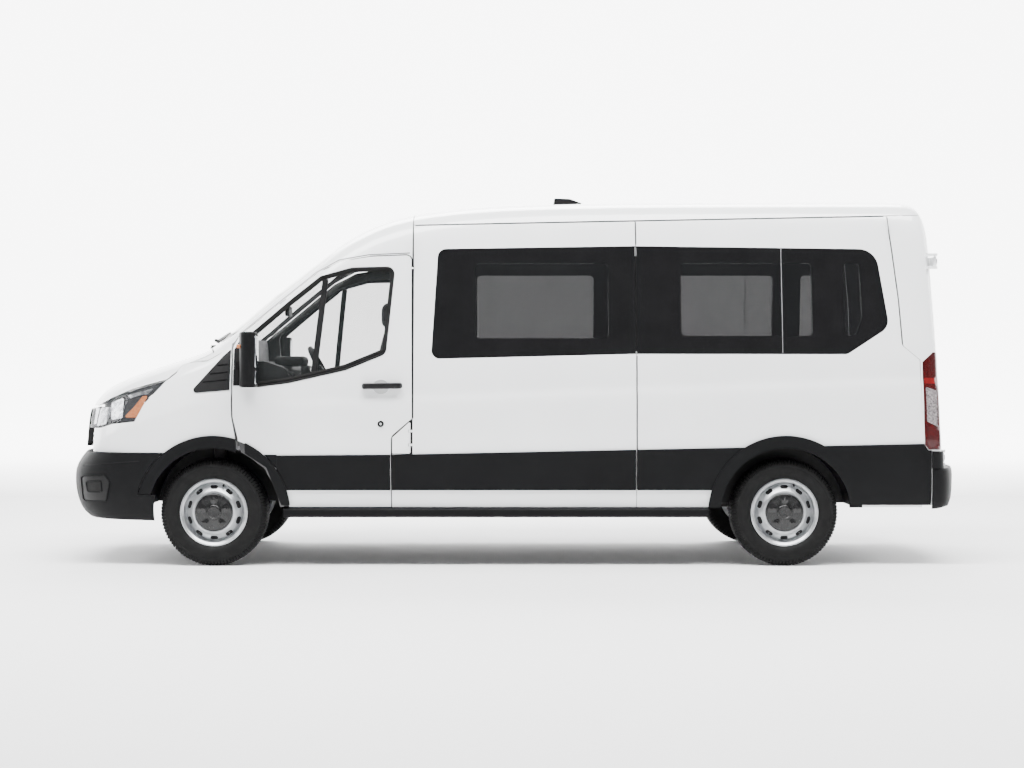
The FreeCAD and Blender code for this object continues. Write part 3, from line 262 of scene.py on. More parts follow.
def paintMaterial(name, dark, light):
    shader = Shader(name).set(Coat_Weight=0.8, Coat_Roughness=0.04, Metallic=0.0)
    x, y, z = shader.parts()
    paint = shader.ramp(shader.noise(1.6), [(0.3, dark), (0.7, light)])
    # Faces turned towards the middle of the body take the near-black colour: dark lining, and painted shade of
    # the interior
    inner = shader.inwards(paintwork["insideMiddle"], paintwork["insideTurn"])
    paint = shader.mixed(inner, paint, paintwork["inside"])
    height = shader.maths("POWER", shader.maths("SUBTRACT", z, place["axleHeight"]), 2)
    for axle in (place["frontAxle"], place["rearAxle"]):
        length = shader.maths("POWER", shader.maths("SUBTRACT", x, axle), 2)
        reach = shader.maths("SQRT", shader.maths("ADD", length, height))
        near = shader.maths("LESS_THAN", reach, paintwork["archReach"])
        paint = shader.mixed(near, paint, paintwork["arch"])
    behind = shader.maths("MULTIPLY", shader.within(x, *paintwork["behindX"]),
                          shader.within(z, *paintwork["behindZ"]))
    slant = shader.maths("ADD", x, shader.maths("MULTIPLY", z, paintwork["slope"]))
    past = shader.maths("GREATER_THAN", slant, paintwork["slopeStart"])
    paint = shader.mixed(shader.maths("MULTIPLY", behind, past), paint, paintwork["behind"])
    shader.colour(paint)
    shader.rough(shader.spread(shader.noise(4), 0.28, 0.4))
    shader.bump(shader.noise(900, 1), 0.02, 0.0002)
    return shader.material


def glassMaterial(name, tint, alpha, tone):
    shader = Shader(name).set(Alpha=alpha, IOR=1.5, Specular_IOR_Level=0.6)
    shader.colour(shader.ramp(shader.noise(2.2), [(0.2, tint), (0.8, tone)]))
    shader.rough(shader.spread(shader.noise(5), 0.015, 0.05))
    return shader.material


look = {
    "white": paintMaterial("white_paint", (0.80, 0.81, 0.82), (0.85, 0.86, 0.865)),
    "cloth": clothMaterial("seat_cloth", (0.010, 0.010, 0.0115), (0.020, 0.020, 0.022)),
    "privacy": glassMaterial("privacy_glass", (0.002, 0.002, 0.0025), 0.66, (0.004, 0.0045, 0.005)),
    "clear": glassMaterial("cab_glass", (0.01, 0.012, 0.0125), 0.27, (0.02, 0.0225, 0.0225)),
    "lens": glassMaterial("lamp_lens", (0.10, 0.105, 0.115), 0.16, (0.14, 0.145, 0.155)),
    "redLens": glassMaterial("red_lens", (0.035, 0.0001, 0.0003), 0.8, (0.06, 0.0003, 0.0006)),
}

# Plain finishes: name, darker and lighter tone, mottling, roughness from and to, grain, other settings
finishes = {
    "charcoal": ("charcoal_plastic", (0.0016, 0.0017, 0.0021), (0.0026, 0.0028, 0.0033), 3, 0.5, 0.66, 1400,
                 {"Specular_IOR_Level": 0.12}),
    "black": ("black_plastic", (0.0028, 0.0028, 0.003), (0.005, 0.005, 0.0054), 9, 0.38, 0.52, 1500,
              {"Specular_IOR_Level": 0.2}),
    "cap": ("cap_plastic", (0.0012, 0.0012, 0.0013), (0.0024, 0.0024, 0.0026), 9, 0.22, 0.32, 1500,
            {"Specular_IOR_Level": 0.5}),
    "rubber": ("seal_rubber", (0.003, 0.003, 0.003), (0.006, 0.006, 0.006), 12, 0.6, 0.8, 500,
               {"Specular_IOR_Level": 0.2}),
    "tyre": ("tyre_rubber", (0.0016, 0.0016, 0.0018), (0.004, 0.004, 0.004), 14, 0.58, 0.82, 700,
             {"Specular_IOR_Level": 0.18}),
    "silver": ("rim_silver", (0.30, 0.31, 0.32), (0.46, 0.47, 0.48), 18, 0.26, 0.42, 900, {"Metallic": 0.8}),
    "chassis": ("chassis_paint", (0.010, 0.010, 0.011), (0.03, 0.028, 0.026), 11, 0.55, 0.8, 260, {}),
    "steel": ("satin_steel", (0.18, 0.18, 0.19), (0.26, 0.26, 0.27), 8, 0.45, 0.6, 500, {}),
    "bright": ("bright_metal", (0.62, 0.63, 0.65), (0.78, 0.79, 0.8), 20, 0.12, 0.25, 0, {"Metallic": 1.0}),
    "cast": ("cast_metal", (0.2, 0.2, 0.21), (0.34, 0.34, 0.35), 22, 0.5, 0.7, 300,
             {"depth": 0.0008, "Metallic": 0.8}),
    "exhaust": ("exhaust_steel", (0.13, 0.11, 0.10), (0.30, 0.27, 0.24), 9, 0.4, 0.65, 400, {"Metallic": 0.8}),
    "cabin": ("cabin_plastic", (0.008, 0.008, 0.0085), (0.014, 0.014, 0.0145), 8, 0.55, 0.7, 900,
              {"Specular_IOR_Level": 0.3}),
    "lining": ("cabin_lining", (0.03, 0.03, 0.031), (0.045, 0.045, 0.045), 5, 0.7, 0.9, 700, {}),
    "carpet": ("floor_mat", (0.02, 0.02, 0.02), (0.04, 0.04, 0.041), 30, 0.8, 0.95, 600, {"depth": 0.002}),
    "mirror": ("mirror_glass", (0.55, 0.57, 0.6), (0.66, 0.68, 0.7), 6, 0.02, 0.05, 0, {"Metallic": 1.0}),
    "amber": ("amber_lens", (0.34, 0.10, 0.028), (0.46, 0.15, 0.045), 70, 0.12, 0.22, 240,
              {"Coat_Weight": 0.5}),
    "reflector": ("lamp_reflector", (0.16, 0.165, 0.18), (0.62, 0.63, 0.65), 26, 0.1, 0.22, 0,
                  {"Metallic": 0.85}),
    "redBright": ("red_lens_bright", (0.09, 0.0003, 0.0004), (0.15, 0.0006, 0.0008), 40, 0.15, 0.25, 160,
                  {"Coat_Weight": 0.6}),
    "redDeep": ("red_lens_deep", (0.025, 0.0001, 0.0003), (0.05, 0.0003, 0.0006), 40, 0.15, 0.25, 160,
                {"Coat_Weight": 0.6}),
    "ribbed": ("clear_tail_lens", (0.05, 0.045, 0.046), (0.30, 0.27, 0.275), 90, 0.1, 0.2, 160,
               {"Coat_Weight": 0.6}),
    "glassBlack": ("black_glass", (0.0015, 0.0015, 0.0018), (0.003, 0.003, 0.0034), 6, 0.02, 0.06, 0, {}),
    # The handle bowl's grey is painted shade standing for the recess in the white door
    "bowl": ("handle_bowl", (0.46, 0.465, 0.47), (0.55, 0.555, 0.56), 3, 0.3, 0.4, 0, {"Coat_Weight": 0.8}),
}
for key, (name, dark, light, scale, low, high, grain, extra) in finishes.items():
    look[key] = plainTones(name, dark, light, scale, low, high, grain, **extra)

paper = Shader("studio_paper")
paper.colour(paper.ramp(paper.noise(0.5), [(0.3, (0.86, 0.86, 0.86)), (0.7, (0.88, 0.88, 0.88))]))
paper.rough(paper.spread(paper.noise(1.0), 0.8, 0.95))
paper.surface.inputs["Emission Color"].default_value = (1, 1, 1, 1)
glow = paper.spread(paper.parts()[1], studio["glowHigh"], studio["glowLow"], studio["glowEnd"],
                    studio["glowStart"])
paper.link(glow, paper.surface.inputs["Emission Strength"])
floor.data.materials.append(paper.material)

wear = {
    "white": "hood cab_frame roof fenders side_panel_left sliding_door quarter_panels rear_corners fuel_flap "
             "front_door_left front_door_right rear_door_left rear_door_right",
    "clear": "windscreen front_door_glass_left front_door_glass_right",
    "privacy": "side_glass rear_glass_left rear_glass_right", "lens": "headlamps", "redLens": "tail_lamps",
    "charcoal": "bumper_front bumper_rear cladding running_boards door_trim_left door_trim_right",
    "black": "grille antenna wheelhouses fuel_tank front_panel", "cabin": "dashboard steering_wheel",
    "cloth": "front_seats rear_seats", "steel": "firewall", "lining": "inner_frame", "carpet": "floor",
    "chassis": "chassis_rails front_suspension rear_axle knuckle_left knuckle_right driveline",
    "cast": "engine", "exhaust": "exhaust",
    "silver": "rim_front_left rim_front_right rim_rear_left rim_rear_right",
    "tyre": "tyre_front_left tyre_front_right tyre_rear_left tyre_rear_right",
}
for key, names in wear.items():
    for name in names.split():
        nodes[name].data.materials.clear()
        nodes[name].data.materials.append(look[key])
print("materials done")


# Shape helpers: a way looks at the vehicle from one side and maps a flat drawing onto it
ways = {
    "left": lambda a, b: (Vector((a, 2.0, b)), Vector((0, -1, 0))),
    "right": lambda a, b: (Vector((a, -2.0, b)), Vector((0, 1, 0))),
    "up": lambda a, b: (Vector((a, b, 4.0)), Vector((0, 0, -1))),
    "rear": lambda a, b: (Vector((-5.0, a, b)), Vector((1, 0, 0))),
    "front": lambda a, b: (Vector((5.0, a, b)), Vector((-1, 0, 0))),
}
flatAxes = {"left": (0, 2), "right": (0, 2), "up": (0, 1), "rear": (1, 2), "front": (1, 2)}
flanks = (("left", 1), ("right", -1))


def surfaceOf(*names):
    corners, faces = [], []
    for name in names:
        start = len(corners)
        corners += [vertex.co.copy() for vertex in nodes[name].data.vertices]
        faces += [[start + i for i in polygon.vertices] for polygon in nodes[name].data.polygons]
    return BVHTree.FromPolygons(corners, faces)


def rounded(points, radius, closed=True, steps=6):
    count = len(points)
    radii = radius if isinstance(radius, list) else [radius] * count
    path = []
    for i, point in enumerate(points):
        corner = Vector(point)
        if radii[i] <= 0 or (not closed and i in (0, count - 1)):
            path.append(corner)
            continue
        before = Vector(points[i - 1]) - corner
        after = Vector(points[(i + 1) % count]) - corner
        half = before.angle(after) / 2
        if half > math.pi / 2 - 0.02:
            path.append(corner)
            continue
        reach = min(radii[i] / math.tan(half), before.length * 0.48, after.length * 0.48)
        arcRadius = reach * math.tan(half)
        bisector = (before.normalized() + after.normalized()).normalized()
        middle = corner + bisector * (arcRadius / math.sin(half))
        start = corner + before.normalized() * reach - middle
        end = corner + after.normalized() * reach - middle
        for step in range(steps + 1):
            share = step / steps
            path.append(middle + (start * (1 - share) + end * share).normalized() * arcRadius)
    return path


def spaced(path, spacing, closed=True):
    result = []
    count = len(path)
    for i in range(count if closed else count - 1):
        start, end = path[i], path[(i + 1) % count]
        pieces = max(1, math.ceil((end - start).length / spacing))
        result += [start.lerp(end, k / pieces) for k in range(pieces)]
    return result if closed else result + [path[-1]]


# Lays flat points on a surface; a point over a gap takes the depth of its two nearest neighbours
def drape(tree, path, way, depth=0.05):
    direction = ways[way](0, 0)[1]
    hits = [tree.ray_cast(*ways[way](*spot)) for spot in path]
    known = sorted(hit[3] for hit in hits if hit[0])
    deepest = known[len(known) // 2] + depth
    good = [i for i, hit in enumerate(hits) if hit[0] and hit[3] < deepest]
    places, normals = [], []
    for i, (a, b) in enumerate(path):
        nearest = i
        spot = hits[i][0]
        if not spot or hits[i][3] >= deepest:
            near = sorted(good, key=lambda k: (path[k][0] - a) ** 2 + (path[k][1] - b) ** 2)[:2]
            nearest = near[0]
            spot = ways[way](a, b)[0] + direction * (sum(hits[k][3] for k in near) / len(near))
        normal = hits[nearest][1]
        normals.append(-normal if normal.dot(direction) > 0 else normal.copy())
        places.append(spot)
    count = len(normals)
    for turn in range(3):
        normals = [(normals[i - 1] + normals[i] * 2 + normals[(i + 1) % count]).normalized()
                   for i in range(count)]
    return places, normals


# Joins sections of equal length into one wall: the first ring is extruded from section to section
def extruded(bm, sections, closed):
    firstRing = ring = [bm.verts.new(corner) for corner in sections[0]]
    edges = [bm.edges.new((ring[k - 1], ring[k])) for k in range(len(ring))]
    for section in sections[1:]:
        made = bmesh.ops.extrude_edge_only(bm, edges=edges)
        fresh = set(newVerts(made))
        edges = [item for item in made["geom"] if isinstance(item, bmesh.types.BMEdge)]
        edges = [edge for edge in edges if edge.verts[0] in fresh and edge.verts[1] in fresh]
        ring = [next(edge.other_vert(vertex) for edge in vertex.link_edges
                     if edge.other_vert(vertex) in fresh) for vertex in ring]
        for vertex, corner in zip(ring, section):
            vertex.co = corner
    if closed:
        for k in range(len(ring)):
            bm.faces.new((ring[k - 1], ring[k], firstRing[k], firstRing[k - 1]))
    else:
        bm.faces.new(firstRing)
        bm.faces.new(ring)


# Draws a cross-section along draped places, square to their normals
def sweep(bm, places, normals, profile, closed=True, scales=None):
    count = len(places)
    centre = sum(places, Vector()) / count
    frames = []
    for i in range(count):
        before = places[i - 1] if closed or i else places[i]
        after = places[(i + 1) % count] if closed or i < count - 1 else places[i]
        tangent = (after - before).normalized()
        normal = (normals[i] - tangent * normals[i].dot(tangent)).normalized()
        frames.append((places[i], normal.cross(tangent), normal))
    outward = sum((centre - spot).dot(across) for spot, across, normal in frames) > 0 or not closed
    flip = 1 if outward else -1
    sections = []
    for i, (spot, across, normal) in enumerate(frames):
        size = scales[i] if scales else 1
        sections.append([spot + across * (a * flip * size) + normal * (out * size) for a, out in profile])
    extruded(bm, sections, closed)


def finished(name, bm, material, body="chassis", angle=40, replaces=()):
    obj = fromBmesh(name, bm, angle)
    obj.data.materials.append(look[material])
    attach(obj, body)
    if replaces:
        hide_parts(*replaces)
    return obj


def strip(name, tree, points, way, profile, material, body="chassis", closed=True, radius=0.0,
          spacing=0.03, depth=0.05, scales=None):
    bm = bmesh.new()
    path = spaced(rounded(points, radius, closed), spacing, closed)
    places, normals = drape(tree, path, way, depth)
    sizes = [scales(i / (len(path) - 1)) for i in range(len(path))] if scales else None
    sweep(bm, places, normals, profile, closed, sizes)
    return finished(name, bm, material, body)


# Cuts a flat sheet into small fields, lays it on a surface and gives it its thickness inwards
def laid(bm, tree, way, lift, thickness, step, depth):
    flat = flatAxes[way]
    for axis in flat:
        low = min(vertex.co[axis] for vertex in bm.verts)
        high = max(vertex.co[axis] for vertex in bm.verts)
        count = int((high - low) / step)
        for k in range(1, count + 1):
            spot, normal = Vector(), Vector()
            spot[axis] = low + (high - low) * k / (count + 1)
            normal[axis] = 1
            sheet = bm.verts[:] + bm.edges[:] + bm.faces[:]
            bmesh.ops.bisect_plane(bm, geom=sheet, plane_co=spot, plane_no=normal)
    spots = [(vertex.co[flat[0]], vertex.co[flat[1]]) for vertex in bm.verts]
    places, normals = drape(tree, spots, way, depth)
    direction = ways[way](0, 0)[1]
    for vertex, spot in zip(bm.verts, places):
        vertex.co = spot - direction * lift
    back = bmesh.ops.extrude_face_region(bm, geom=bm.faces[:])
    bmesh.ops.translate(bm, vec=direction * thickness, verts=newVerts(back))


def flatRing(bm, points, way):
    ring = []
    for point in points:
        spot = Vector()
        spot[flatAxes[way][0]], spot[flatAxes[way][1]] = point[0], point[1]
        ring.append(bm.verts.new(spot))
    return ring


def patch(name, tree, points, way, lift, thickness, material, body="chassis", radius=0.0,
          step=0.03, depth=0.3):
    bm = bmesh.new()
    bm.faces.new(flatRing(bm, rounded(points, radius), way))
    laid(bm, tree, way, lift, thickness, step, depth)
    return finished(name, bm, material, body)


def perforated(name, tree, outline, openings, way, lift, thickness, material, step=0.05):
    bm = bmesh.new()
    for loop in [outline] + openings:
        ring = flatRing(bm, loop, way)
        for k in range(len(ring)):
            bm.edges.new((ring[k], ring[(k + 1) % len(ring)]))
    bmesh.ops.triangle_fill(bm, edges=bm.edges[:], use_beauty=True)
    laid(bm, tree, way, lift, thickness, step, 0.3)
    return finished(name, bm, material)


def block(bm, centre, size, bevel, segments=3, turn=0.0):
    verts = bmesh.ops.create_cube(bm, size=1)["verts"]
    bmesh.ops.scale(bm, vec=size, verts=verts)
    edges = list({edge for vertex in verts for edge in vertex.link_edges})
    made = bmesh.ops.bevel(bm, geom=edges, offset=bevel, segments=segments, affect="EDGES", profile=0.5,
                           material=-1)
    verts = list({vertex for face in made["faces"] for vertex in face.verts} | {v for v in verts
                                                                                if v.is_valid})
    bmesh.ops.rotate(bm, cent=(0, 0, 0), matrix=Matrix.Rotation(turn, 3, "Y"), verts=verts)
    bmesh.ops.translate(bm, vec=centre, verts=verts)


def barProfile(width, low, high, fall=0.002, shoulder=0.003):
    return [(-width, low), (-width, high - fall), (-width + shoulder, high), (width - shoulder, high),
            (width, high - fall), (width, low)]


def ellipse(x, z, wide, high, count):
    turns = [k / count * 2 * math.pi for k in range(count)]
    return [(x + wide * math.cos(turn), z + high * math.sin(turn)) for turn in turns]


# Tyres with a block tread: half of the section as offset, radius and kind (1 shoulder block, 2 inner rib);
# over each pitch the section is drawn at four phases, the last two of them cut down by a groove
tyre = {
    "pitches": 96, "groove": 0.006, "shoulderCut": 0.004, "sipe": 0.0025, "phases": (0.0, 0.6, 0.68, 0.92),
    "half": [(0.0885, 0.2225, 0), (0.0955, 0.2245, 0), (0.1015, 0.231, 0), (0.1085, 0.240, 0),
             (0.1135, 0.252, 0), (0.116, 0.266, 0), (0.1165, 0.282, 0), (0.116, 0.296, 0),
             (0.1146, 0.2995, 0), (0.1156, 0.303, 0), (0.1135, 0.316, 0), (0.1105, 0.325, 1),
             (0.106, 0.333, 1), (0.100, 0.340, 1), (0.0935, 0.3453, 1), (0.085, 0.3487, 1),
             (0.074, 0.3503, 1), (0.066, 0.351, 1), (0.0655, 0.3435, 0), (0.0575, 0.3435, 0),
             (0.057, 0.351, 2), (0.036, 0.351, 2), (0.0255, 0.351, 2), (0.025, 0.344, 0),
             (0.017, 0.344, 0), (0.0165, 0.351, 2)],
}


def tyreSection(cut):
    section = []
    for sign, half in ((1, tyre["half"]), (-1, tyre["half"][::-1])):
        for offset, radius, kind in half:
            if cut and kind == 1:
                radius -= tyre["groove"]
                offset -= tyre["shoulderCut"]
            if cut and kind == 2:
                radius -= tyre["sipe"]
            section.append((sign * offset, radius))
    return section


def makeTyre(name, x, side, body, node):
    bm = bmesh.new()
    sections = []
    for pitch in range(tyre["pitches"]):
        for index, phase in enumerate(tyre["phases"]):
            angle = (pitch + phase) / tyre["pitches"] * 2 * math.pi
            sections.append([(x + radius * math.cos(angle), side * (place["wheelY"] + offset),
                              place["axleHeight"] + radius * math.sin(angle))
                             for offset, radius in tyreSection(index > 1)])
    extruded(bm, sections, closed=True)
    return finished(name, bm, "tyre", body, angle=28, replaces=(node,))


# Black centre cap, turned from its section and swollen into five lobes over the wheel nuts
cap = {
    "profile": [(0.1215, 0.087), (0.1205, 0.093), (0.117, 0.0955), (0.110, 0.0965), (0.098, 0.0972),
                (0.084, 0.098), (0.070, 0.099), (0.058, 0.1002), (0.051, 0.1012), (0.047, 0.106),
                (0.044, 0.1085), (0.037, 0.1085), (0.0345, 0.1062), (0.020, 0.1058), (0.002, 0.1058)],
    "lobes": 5, "lobe": 0.011, "lobeRadius": 0.084, "lobeWidth": 0.014, "columns": 120,
}


def makeCap(name, x, side, body):
    bm = bmesh.new()
    centre = Vector((x, side * place["wheelY"], place["axleHeight"]))
    spots = [bm.verts.new(centre + Vector((0, side * out, radius))) for radius, out in cap["profile"]]
    line = [bm.edges.new(pair) for pair in zip(spots, spots[1:])]
    bmesh.ops.spin(bm, geom=spots + line, cent=centre, axis=(0, 1, 0), angle=2 * math.pi,
                   steps=cap["columns"], use_merge=True)
    for vertex in bm.verts:
        away = vertex.co - centre
        radius = math.hypot(away.x, away.z)
        lobe = max(0.0, math.cos(cap["lobes"] * math.atan2(away.x, away.z))) ** 1.5
        swell = math.exp(-((radius - cap["lobeRadius"]) / cap["lobeWidth"]) ** 2)
        vertex.co.y += side * cap["lobe"] * lobe * swell
    inner = min(radius for radius, out in cap["profile"]) * 1.5
    hub = [edge for edge in bm.edges if edge.is_boundary and (edge.verts[0].co - centre).xz.length < inner]
    bmesh.ops.contextual_create(bm, geom=hub)
    return finished(name, bm, "cap", body)


# Vents of the steel rims, as dark rounded slots laid over the pairs of round holes: painted shade of the
# openings, in the seal rubber's colour
vents = {"count": 10, "firstAngle": 18, "radius": 0.167, "half": 0.0135, "round": 0.0118, "points": 20,
         "lift": 0.0022, "thickness": 0.003}


def makeVents(name, x, side, label, body, node):
    tree = surfaceOf(node)
    for index in range(vents["count"]):
        angle = math.radians(360 / vents["count"] * index + vents["firstAngle"])
        outward = Vector((math.cos(angle), math.sin(angle)))
        along = Vector((-outward.y, outward.x))
        middle = Vector((x, place["axleHeight"])) + outward * vents["radius"]
        outline = []
        for k in range(vents["points"]):
            turn = k / vents["points"] * 2 * math.pi
            shift = vents["half"] if math.cos(turn) > 0 else -vents["half"]
            spot = Vector((math.cos(turn), math.sin(turn))) * vents["round"]
            outline.append(tuple(middle + along * (spot.x + shift) + outward * spot.y))
        patch("%s_%d" % (name, index), tree, outline, label, vents["lift"], vents["thickness"], "rubber",
              body, step=0.007, depth=0.012)


valve = {"ahead": -0.062, "out": 0.075, "up": 0.178, "tilt": 12, "foot": 0.006, "tip": 0.0045, "length": 0.036}


def makeValve(name, x, side, body):
    bm = bmesh.new()
    spot = Vector((x + valve["ahead"], side * (place["wheelY"] + valve["out"]),
                   place["axleHeight"] + valve["up"]))
    turned = Matrix.Translation(spot) @ Matrix.Rotation(math.radians(90 - valve["tilt"] * side), 4, "X")
    bmesh.ops.create_cone(bm, cap_ends=True, segments=16, radius1=valve["foot"], radius2=valve["tip"],
                          depth=valve["length"], matrix=turned)
    return finished(name, bm, "rubber", body)


for axle in ("front", "rear"):
    x = place[axle + "Axle"]
    for label, side in flanks:
        corner = "%s_%s" % (axle, label)
        body = "wheel_" + corner
        makeVents("rim_vent_" + corner, x, side, label, body, "rim_" + corner)
        makeTyre("tread_" + corner, x, side, body, "tyre_" + corner)
        makeCap("wheel_cap_" + corner, x, side, body)
        makeValve("valve_" + corner, x, side, body)
print("wheels done")


# Window rubbers, the bar in front of each door window and the flush side glazing's lines
glazing = {
    "doorWindow": [(1.721, 1.526), (1.458, 1.741), (1.258, 1.899), (1.060, 1.955), (0.780, 1.962),
                   (0.838, 1.400), (1.100, 1.294), (1.458, 1.211), (1.705, 1.178)],
    "waist": [(0.842, 1.418), (1.100, 1.312), (1.458, 1.229), (1.702, 1.196)],
    "seal": [(-0.006, 0.0008), (-0.004, 0.004), (0.003, 0.0042), (0.010, -0.006), (0.021, -0.0125),
             (0.022, -0.017), (0.002, -0.017), (-0.001, -0.002)],
    "flatSeal": [(-0.007, 0.0004), (-0.005, 0.003), (0.004, 0.0035), (0.008, 0.0012), (0.008, -0.003),
                 (-0.007, -0.003)],
    "bar": [(1.232, 1.888), (1.303, 1.25)],
    "rearWindow": [(0.110, 1.420), (0.770, 1.420), (0.745, 2.010), (0.110, 2.010)],
    "divider": [(-1.776, 1.399), (-1.776, 2.096)],
    "overlap": 0.004,
}


def grown(outline, middle, height):
    reach = glazing["overlap"]
    return [(a + math.copysign(reach, a - middle), z + math.copysign(reach, z - height)) for a, z in outline]


for label, side in flanks:
    door = "front_door_" + label
    pane = surfaceOf("front_door_glass_" + label)
    edge = grown(glazing["doorWindow"], 1.2, 1.6)
    strip("door_window_seal_" + label, surfaceOf(door), edge, label, glazing["seal"], "rubber", door,
          radius=0.045, spacing=0.025)
    strip("quarter_bar_" + label, pane, glazing["bar"], label, barProfile(0.019, -0.002, 0.012), "black",
          door, closed=False)
    strip("waist_seal_" + label, pane, glazing["waist"], label, barProfile(0.009, -0.001, 0.014), "rubber",
          door, closed=False, radius=0.2)
    rearDoor = "rear_door_" + label
    edge = [(side * y, z) for y, z in grown(glazing["rearWindow"], 0.4, 1.7)]
    strip("rear_window_seal_" + label, surfaceOf(rearDoor), edge, "rear", glazing["flatSeal"], "rubber",
          rearDoor, radius=0.06)
    strip("glass_divider_" + label, surfaceOf("side_glass"), glazing["divider"], label,
          barProfile(0.0022, -0.001, 0.0022), "steel", closed=False)

# Black border of the side glass: outline, its rounding, and the clear fields in it
frit = {
    "front": ([(0.486, 2.086), (-0.8105, 2.105), (-0.8105, 1.393), (0.532, 1.360)],
              [0.055, 0.001, 0.001, 0.055],
              [[(0.24, 1.992), (-0.634, 1.992), (-0.634, 1.496), (0.24, 1.496)]]),
    "rear": ([(-0.8195, 2.105), (-2.399, 2.084), (-2.477, 1.571), (-2.2, 1.391), (-0.8195, 1.393)],
             [0.001, 0.13, 0.09, 0.06, 0.001],
             [[(-1.112, 1.992), (-1.976, 1.992), (-1.976, 1.512), (-1.112, 1.512)],
              [(-2.184, 1.992), (-2.292, 1.992), (-2.304, 1.64), (-2.262, 1.52), (-2.184, 1.506)]]),
}
panes = surfaceOf("side_glass")
for label, side in flanks:
    for part, (outline, radii, fields) in frit.items():
        openings = [rounded(field, 0.03) for field in fields]
        perforated("glass_border_%s_%s" % (part, label), panes, rounded(outline, radii), openings, label,
                   0.0006, 0.0005, "glassBlack")
print("window seals done")


# Painted gap shadow: dark strips where panels meet, kept on the fixed side of each gap
flank = "side_panel_left sliding_door quarter_panels"
seams = {
    "mid": (flank, [(-0.8198, 0.505), (-0.8198, 1.380)]),
    "midTop": (flank, [(-0.8198, 2.116), (-0.8198, 2.268)]),
    "gutter": ("roof " + flank, [(0.640, 2.2456), (-2.465, 2.3051)]),
    "pillar": ("side_panel_left sliding_door", [(0.6495, 0.970), (0.6495, 2.235)]),
    "doorTop": ("cab_frame", [(0.675, 2.0605), (0.942, 2.0505), (1.142, 2.0185), (1.302, 1.9335),
                              (1.543, 1.7365), (1.800, 1.5250)]),
    "corner": ("quarter_panels rear_corners", [(-2.479, 2.296), (-2.5004, 2.125), (-2.5404, 1.752),
                                               (-2.5604, 1.447), (-2.6700, 1.3565)]),
}
gapShadowProfile = [(-0.0026, -0.003), (-0.0026, 0.0011), (0.0026, 0.0011), (0.0026, -0.003)]
for key, (panels, line) in seams.items():
    tree = surfaceOf(*panels.split())
    for label, side in flanks:
        # Each strip is painted shadow of a panel gap, in the seal rubber's colour
        strip("gap_shadow_%s_%s" % (key, label), tree, line, label, gapShadowProfile, "rubber", closed=False,
              radius=0.05, spacing=0.015)
print("seams done")


# Ribbed black triangle and white edge of each front fender
fenderTrim = {
    "triangle": [(2.119, 1.133), (1.903, 1.379), (1.852, 1.425), (1.852, 1.156)],
    "ribs": [[(1.866, 1.275), (1.985, 1.262)], [(1.866, 1.325), (1.938, 1.318)],
             [(1.866, 1.225), (2.030, 1.208)]],
    "edge": [(1.8502, 1.440), (1.8470, 1.440), (1.8400, 0.985), (1.8050, 0.790), (1.8035, 0.760),
             (1.8502, 0.776)],
}

# Lock, handle with its bowl (a grey patch of painted shade in a white rim), and the lower band's front corner
# on each front door
doorTrim = {
    "lock": (0.861, 0.934), "lockRadius": 0.021, "coreRadius": 0.008,
    "bowl": (0.861, 1.176), "bowlWide": 0.056, "bowlHigh": 0.050,
    "bowlRim": [(-0.003, -0.001), (-0.001, 0.0028), (0.0015, 0.003), (0.004, -0.001)],
    "handle": [(0.720, 1.184), (0.984, 1.180)],
    "grip": [(-0.015, 0.0165), (-0.0195, 0.028), (-0.014, 0.0425), (0.0, 0.0465), (0.014, 0.0425),
             (0.0195, 0.028), (0.015, 0.0165)],
    "bandCorner": [(1.5405, 0.640), (1.5405, 0.7325), (1.6230, 0.7335), (1.6000, 0.709), (1.5700, 0.674)],
}

# Door mirrors: plan of the shell, then glass and lamp blocks as place and size
mirrors = {
    "plan": [(1.660, 1.034), (1.660, 1.245), (1.750, 1.234), (1.784, 1.052)],
    "radii": [0.014, 0.03, 0.045, 0.03], "bottom": 1.175, "height": 0.359, "bevel": 0.012,
    "glasses": [((1.6585, 1.139, 1.405), (0.006, 0.165, 0.205)),
                ((1.6585, 1.139, 1.240), (0.006, 0.165, 0.085))],
    "lamp": ((1.767, 1.150, 1.440), (0.030, 0.115, 0.026)),
}

# Fog lamp recess and crease of the front bumper
fog = {
    "recess": [(2.856, 0.585), (2.674, 0.598), (2.640, 0.552), (2.668, 0.424), (2.842, 0.421)],
    "lamp": [(2.812, 0.552), (2.700, 0.560), (2.694, 0.486), (2.800, 0.484)],
    "rim": [(-0.006, -0.002), (-0.004, 0.006), (0.003, 0.006), (0.006, -0.002)],
    "innerRim": [(-0.004, 0.0), (-0.003, 0.0065), (0.002, 0.0065), (0.004, 0.0)],
    "crease": [(2.846, 0.656), (2.700, 0.668), (2.440, 0.688)],
    "creaseRim": [(-0.006, -0.002), (-0.001, 0.0032), (0.002, 0.003), (0.008, -0.002)],
}


def sideBlocks(name, blocks, side, bevel, material, body):
    bm = bmesh.new()
    for (x, y, z), size in blocks:
        block(bm, (x, side * y, z), size, bevel)
    return finished(name, bm, material, body)


def makeMirrorShell(name, side, body):
    bm = bmesh.new()
    plan = rounded(mirrors["plan"], mirrors["radii"])
    base = bm.faces.new([bm.verts.new((spot.x, side * spot.y, mirrors["bottom"])) for spot in plan])
    lifted = bmesh.ops.extrude_face_region(bm, geom=[base])
    bmesh.ops.translate(bm, vec=(0, 0, mirrors["height"]), verts=newVerts(lifted))
    level = [edge for edge in bm.edges if abs(edge.verts[0].co.z - edge.verts[1].co.z) < 0.001]
    bmesh.ops.bevel(bm, geom=level, offset=mirrors["bevel"], segments=4, affect="EDGES", profile=0.5,
                    material=-1)
    return finished(name, bm, "charcoal", body)


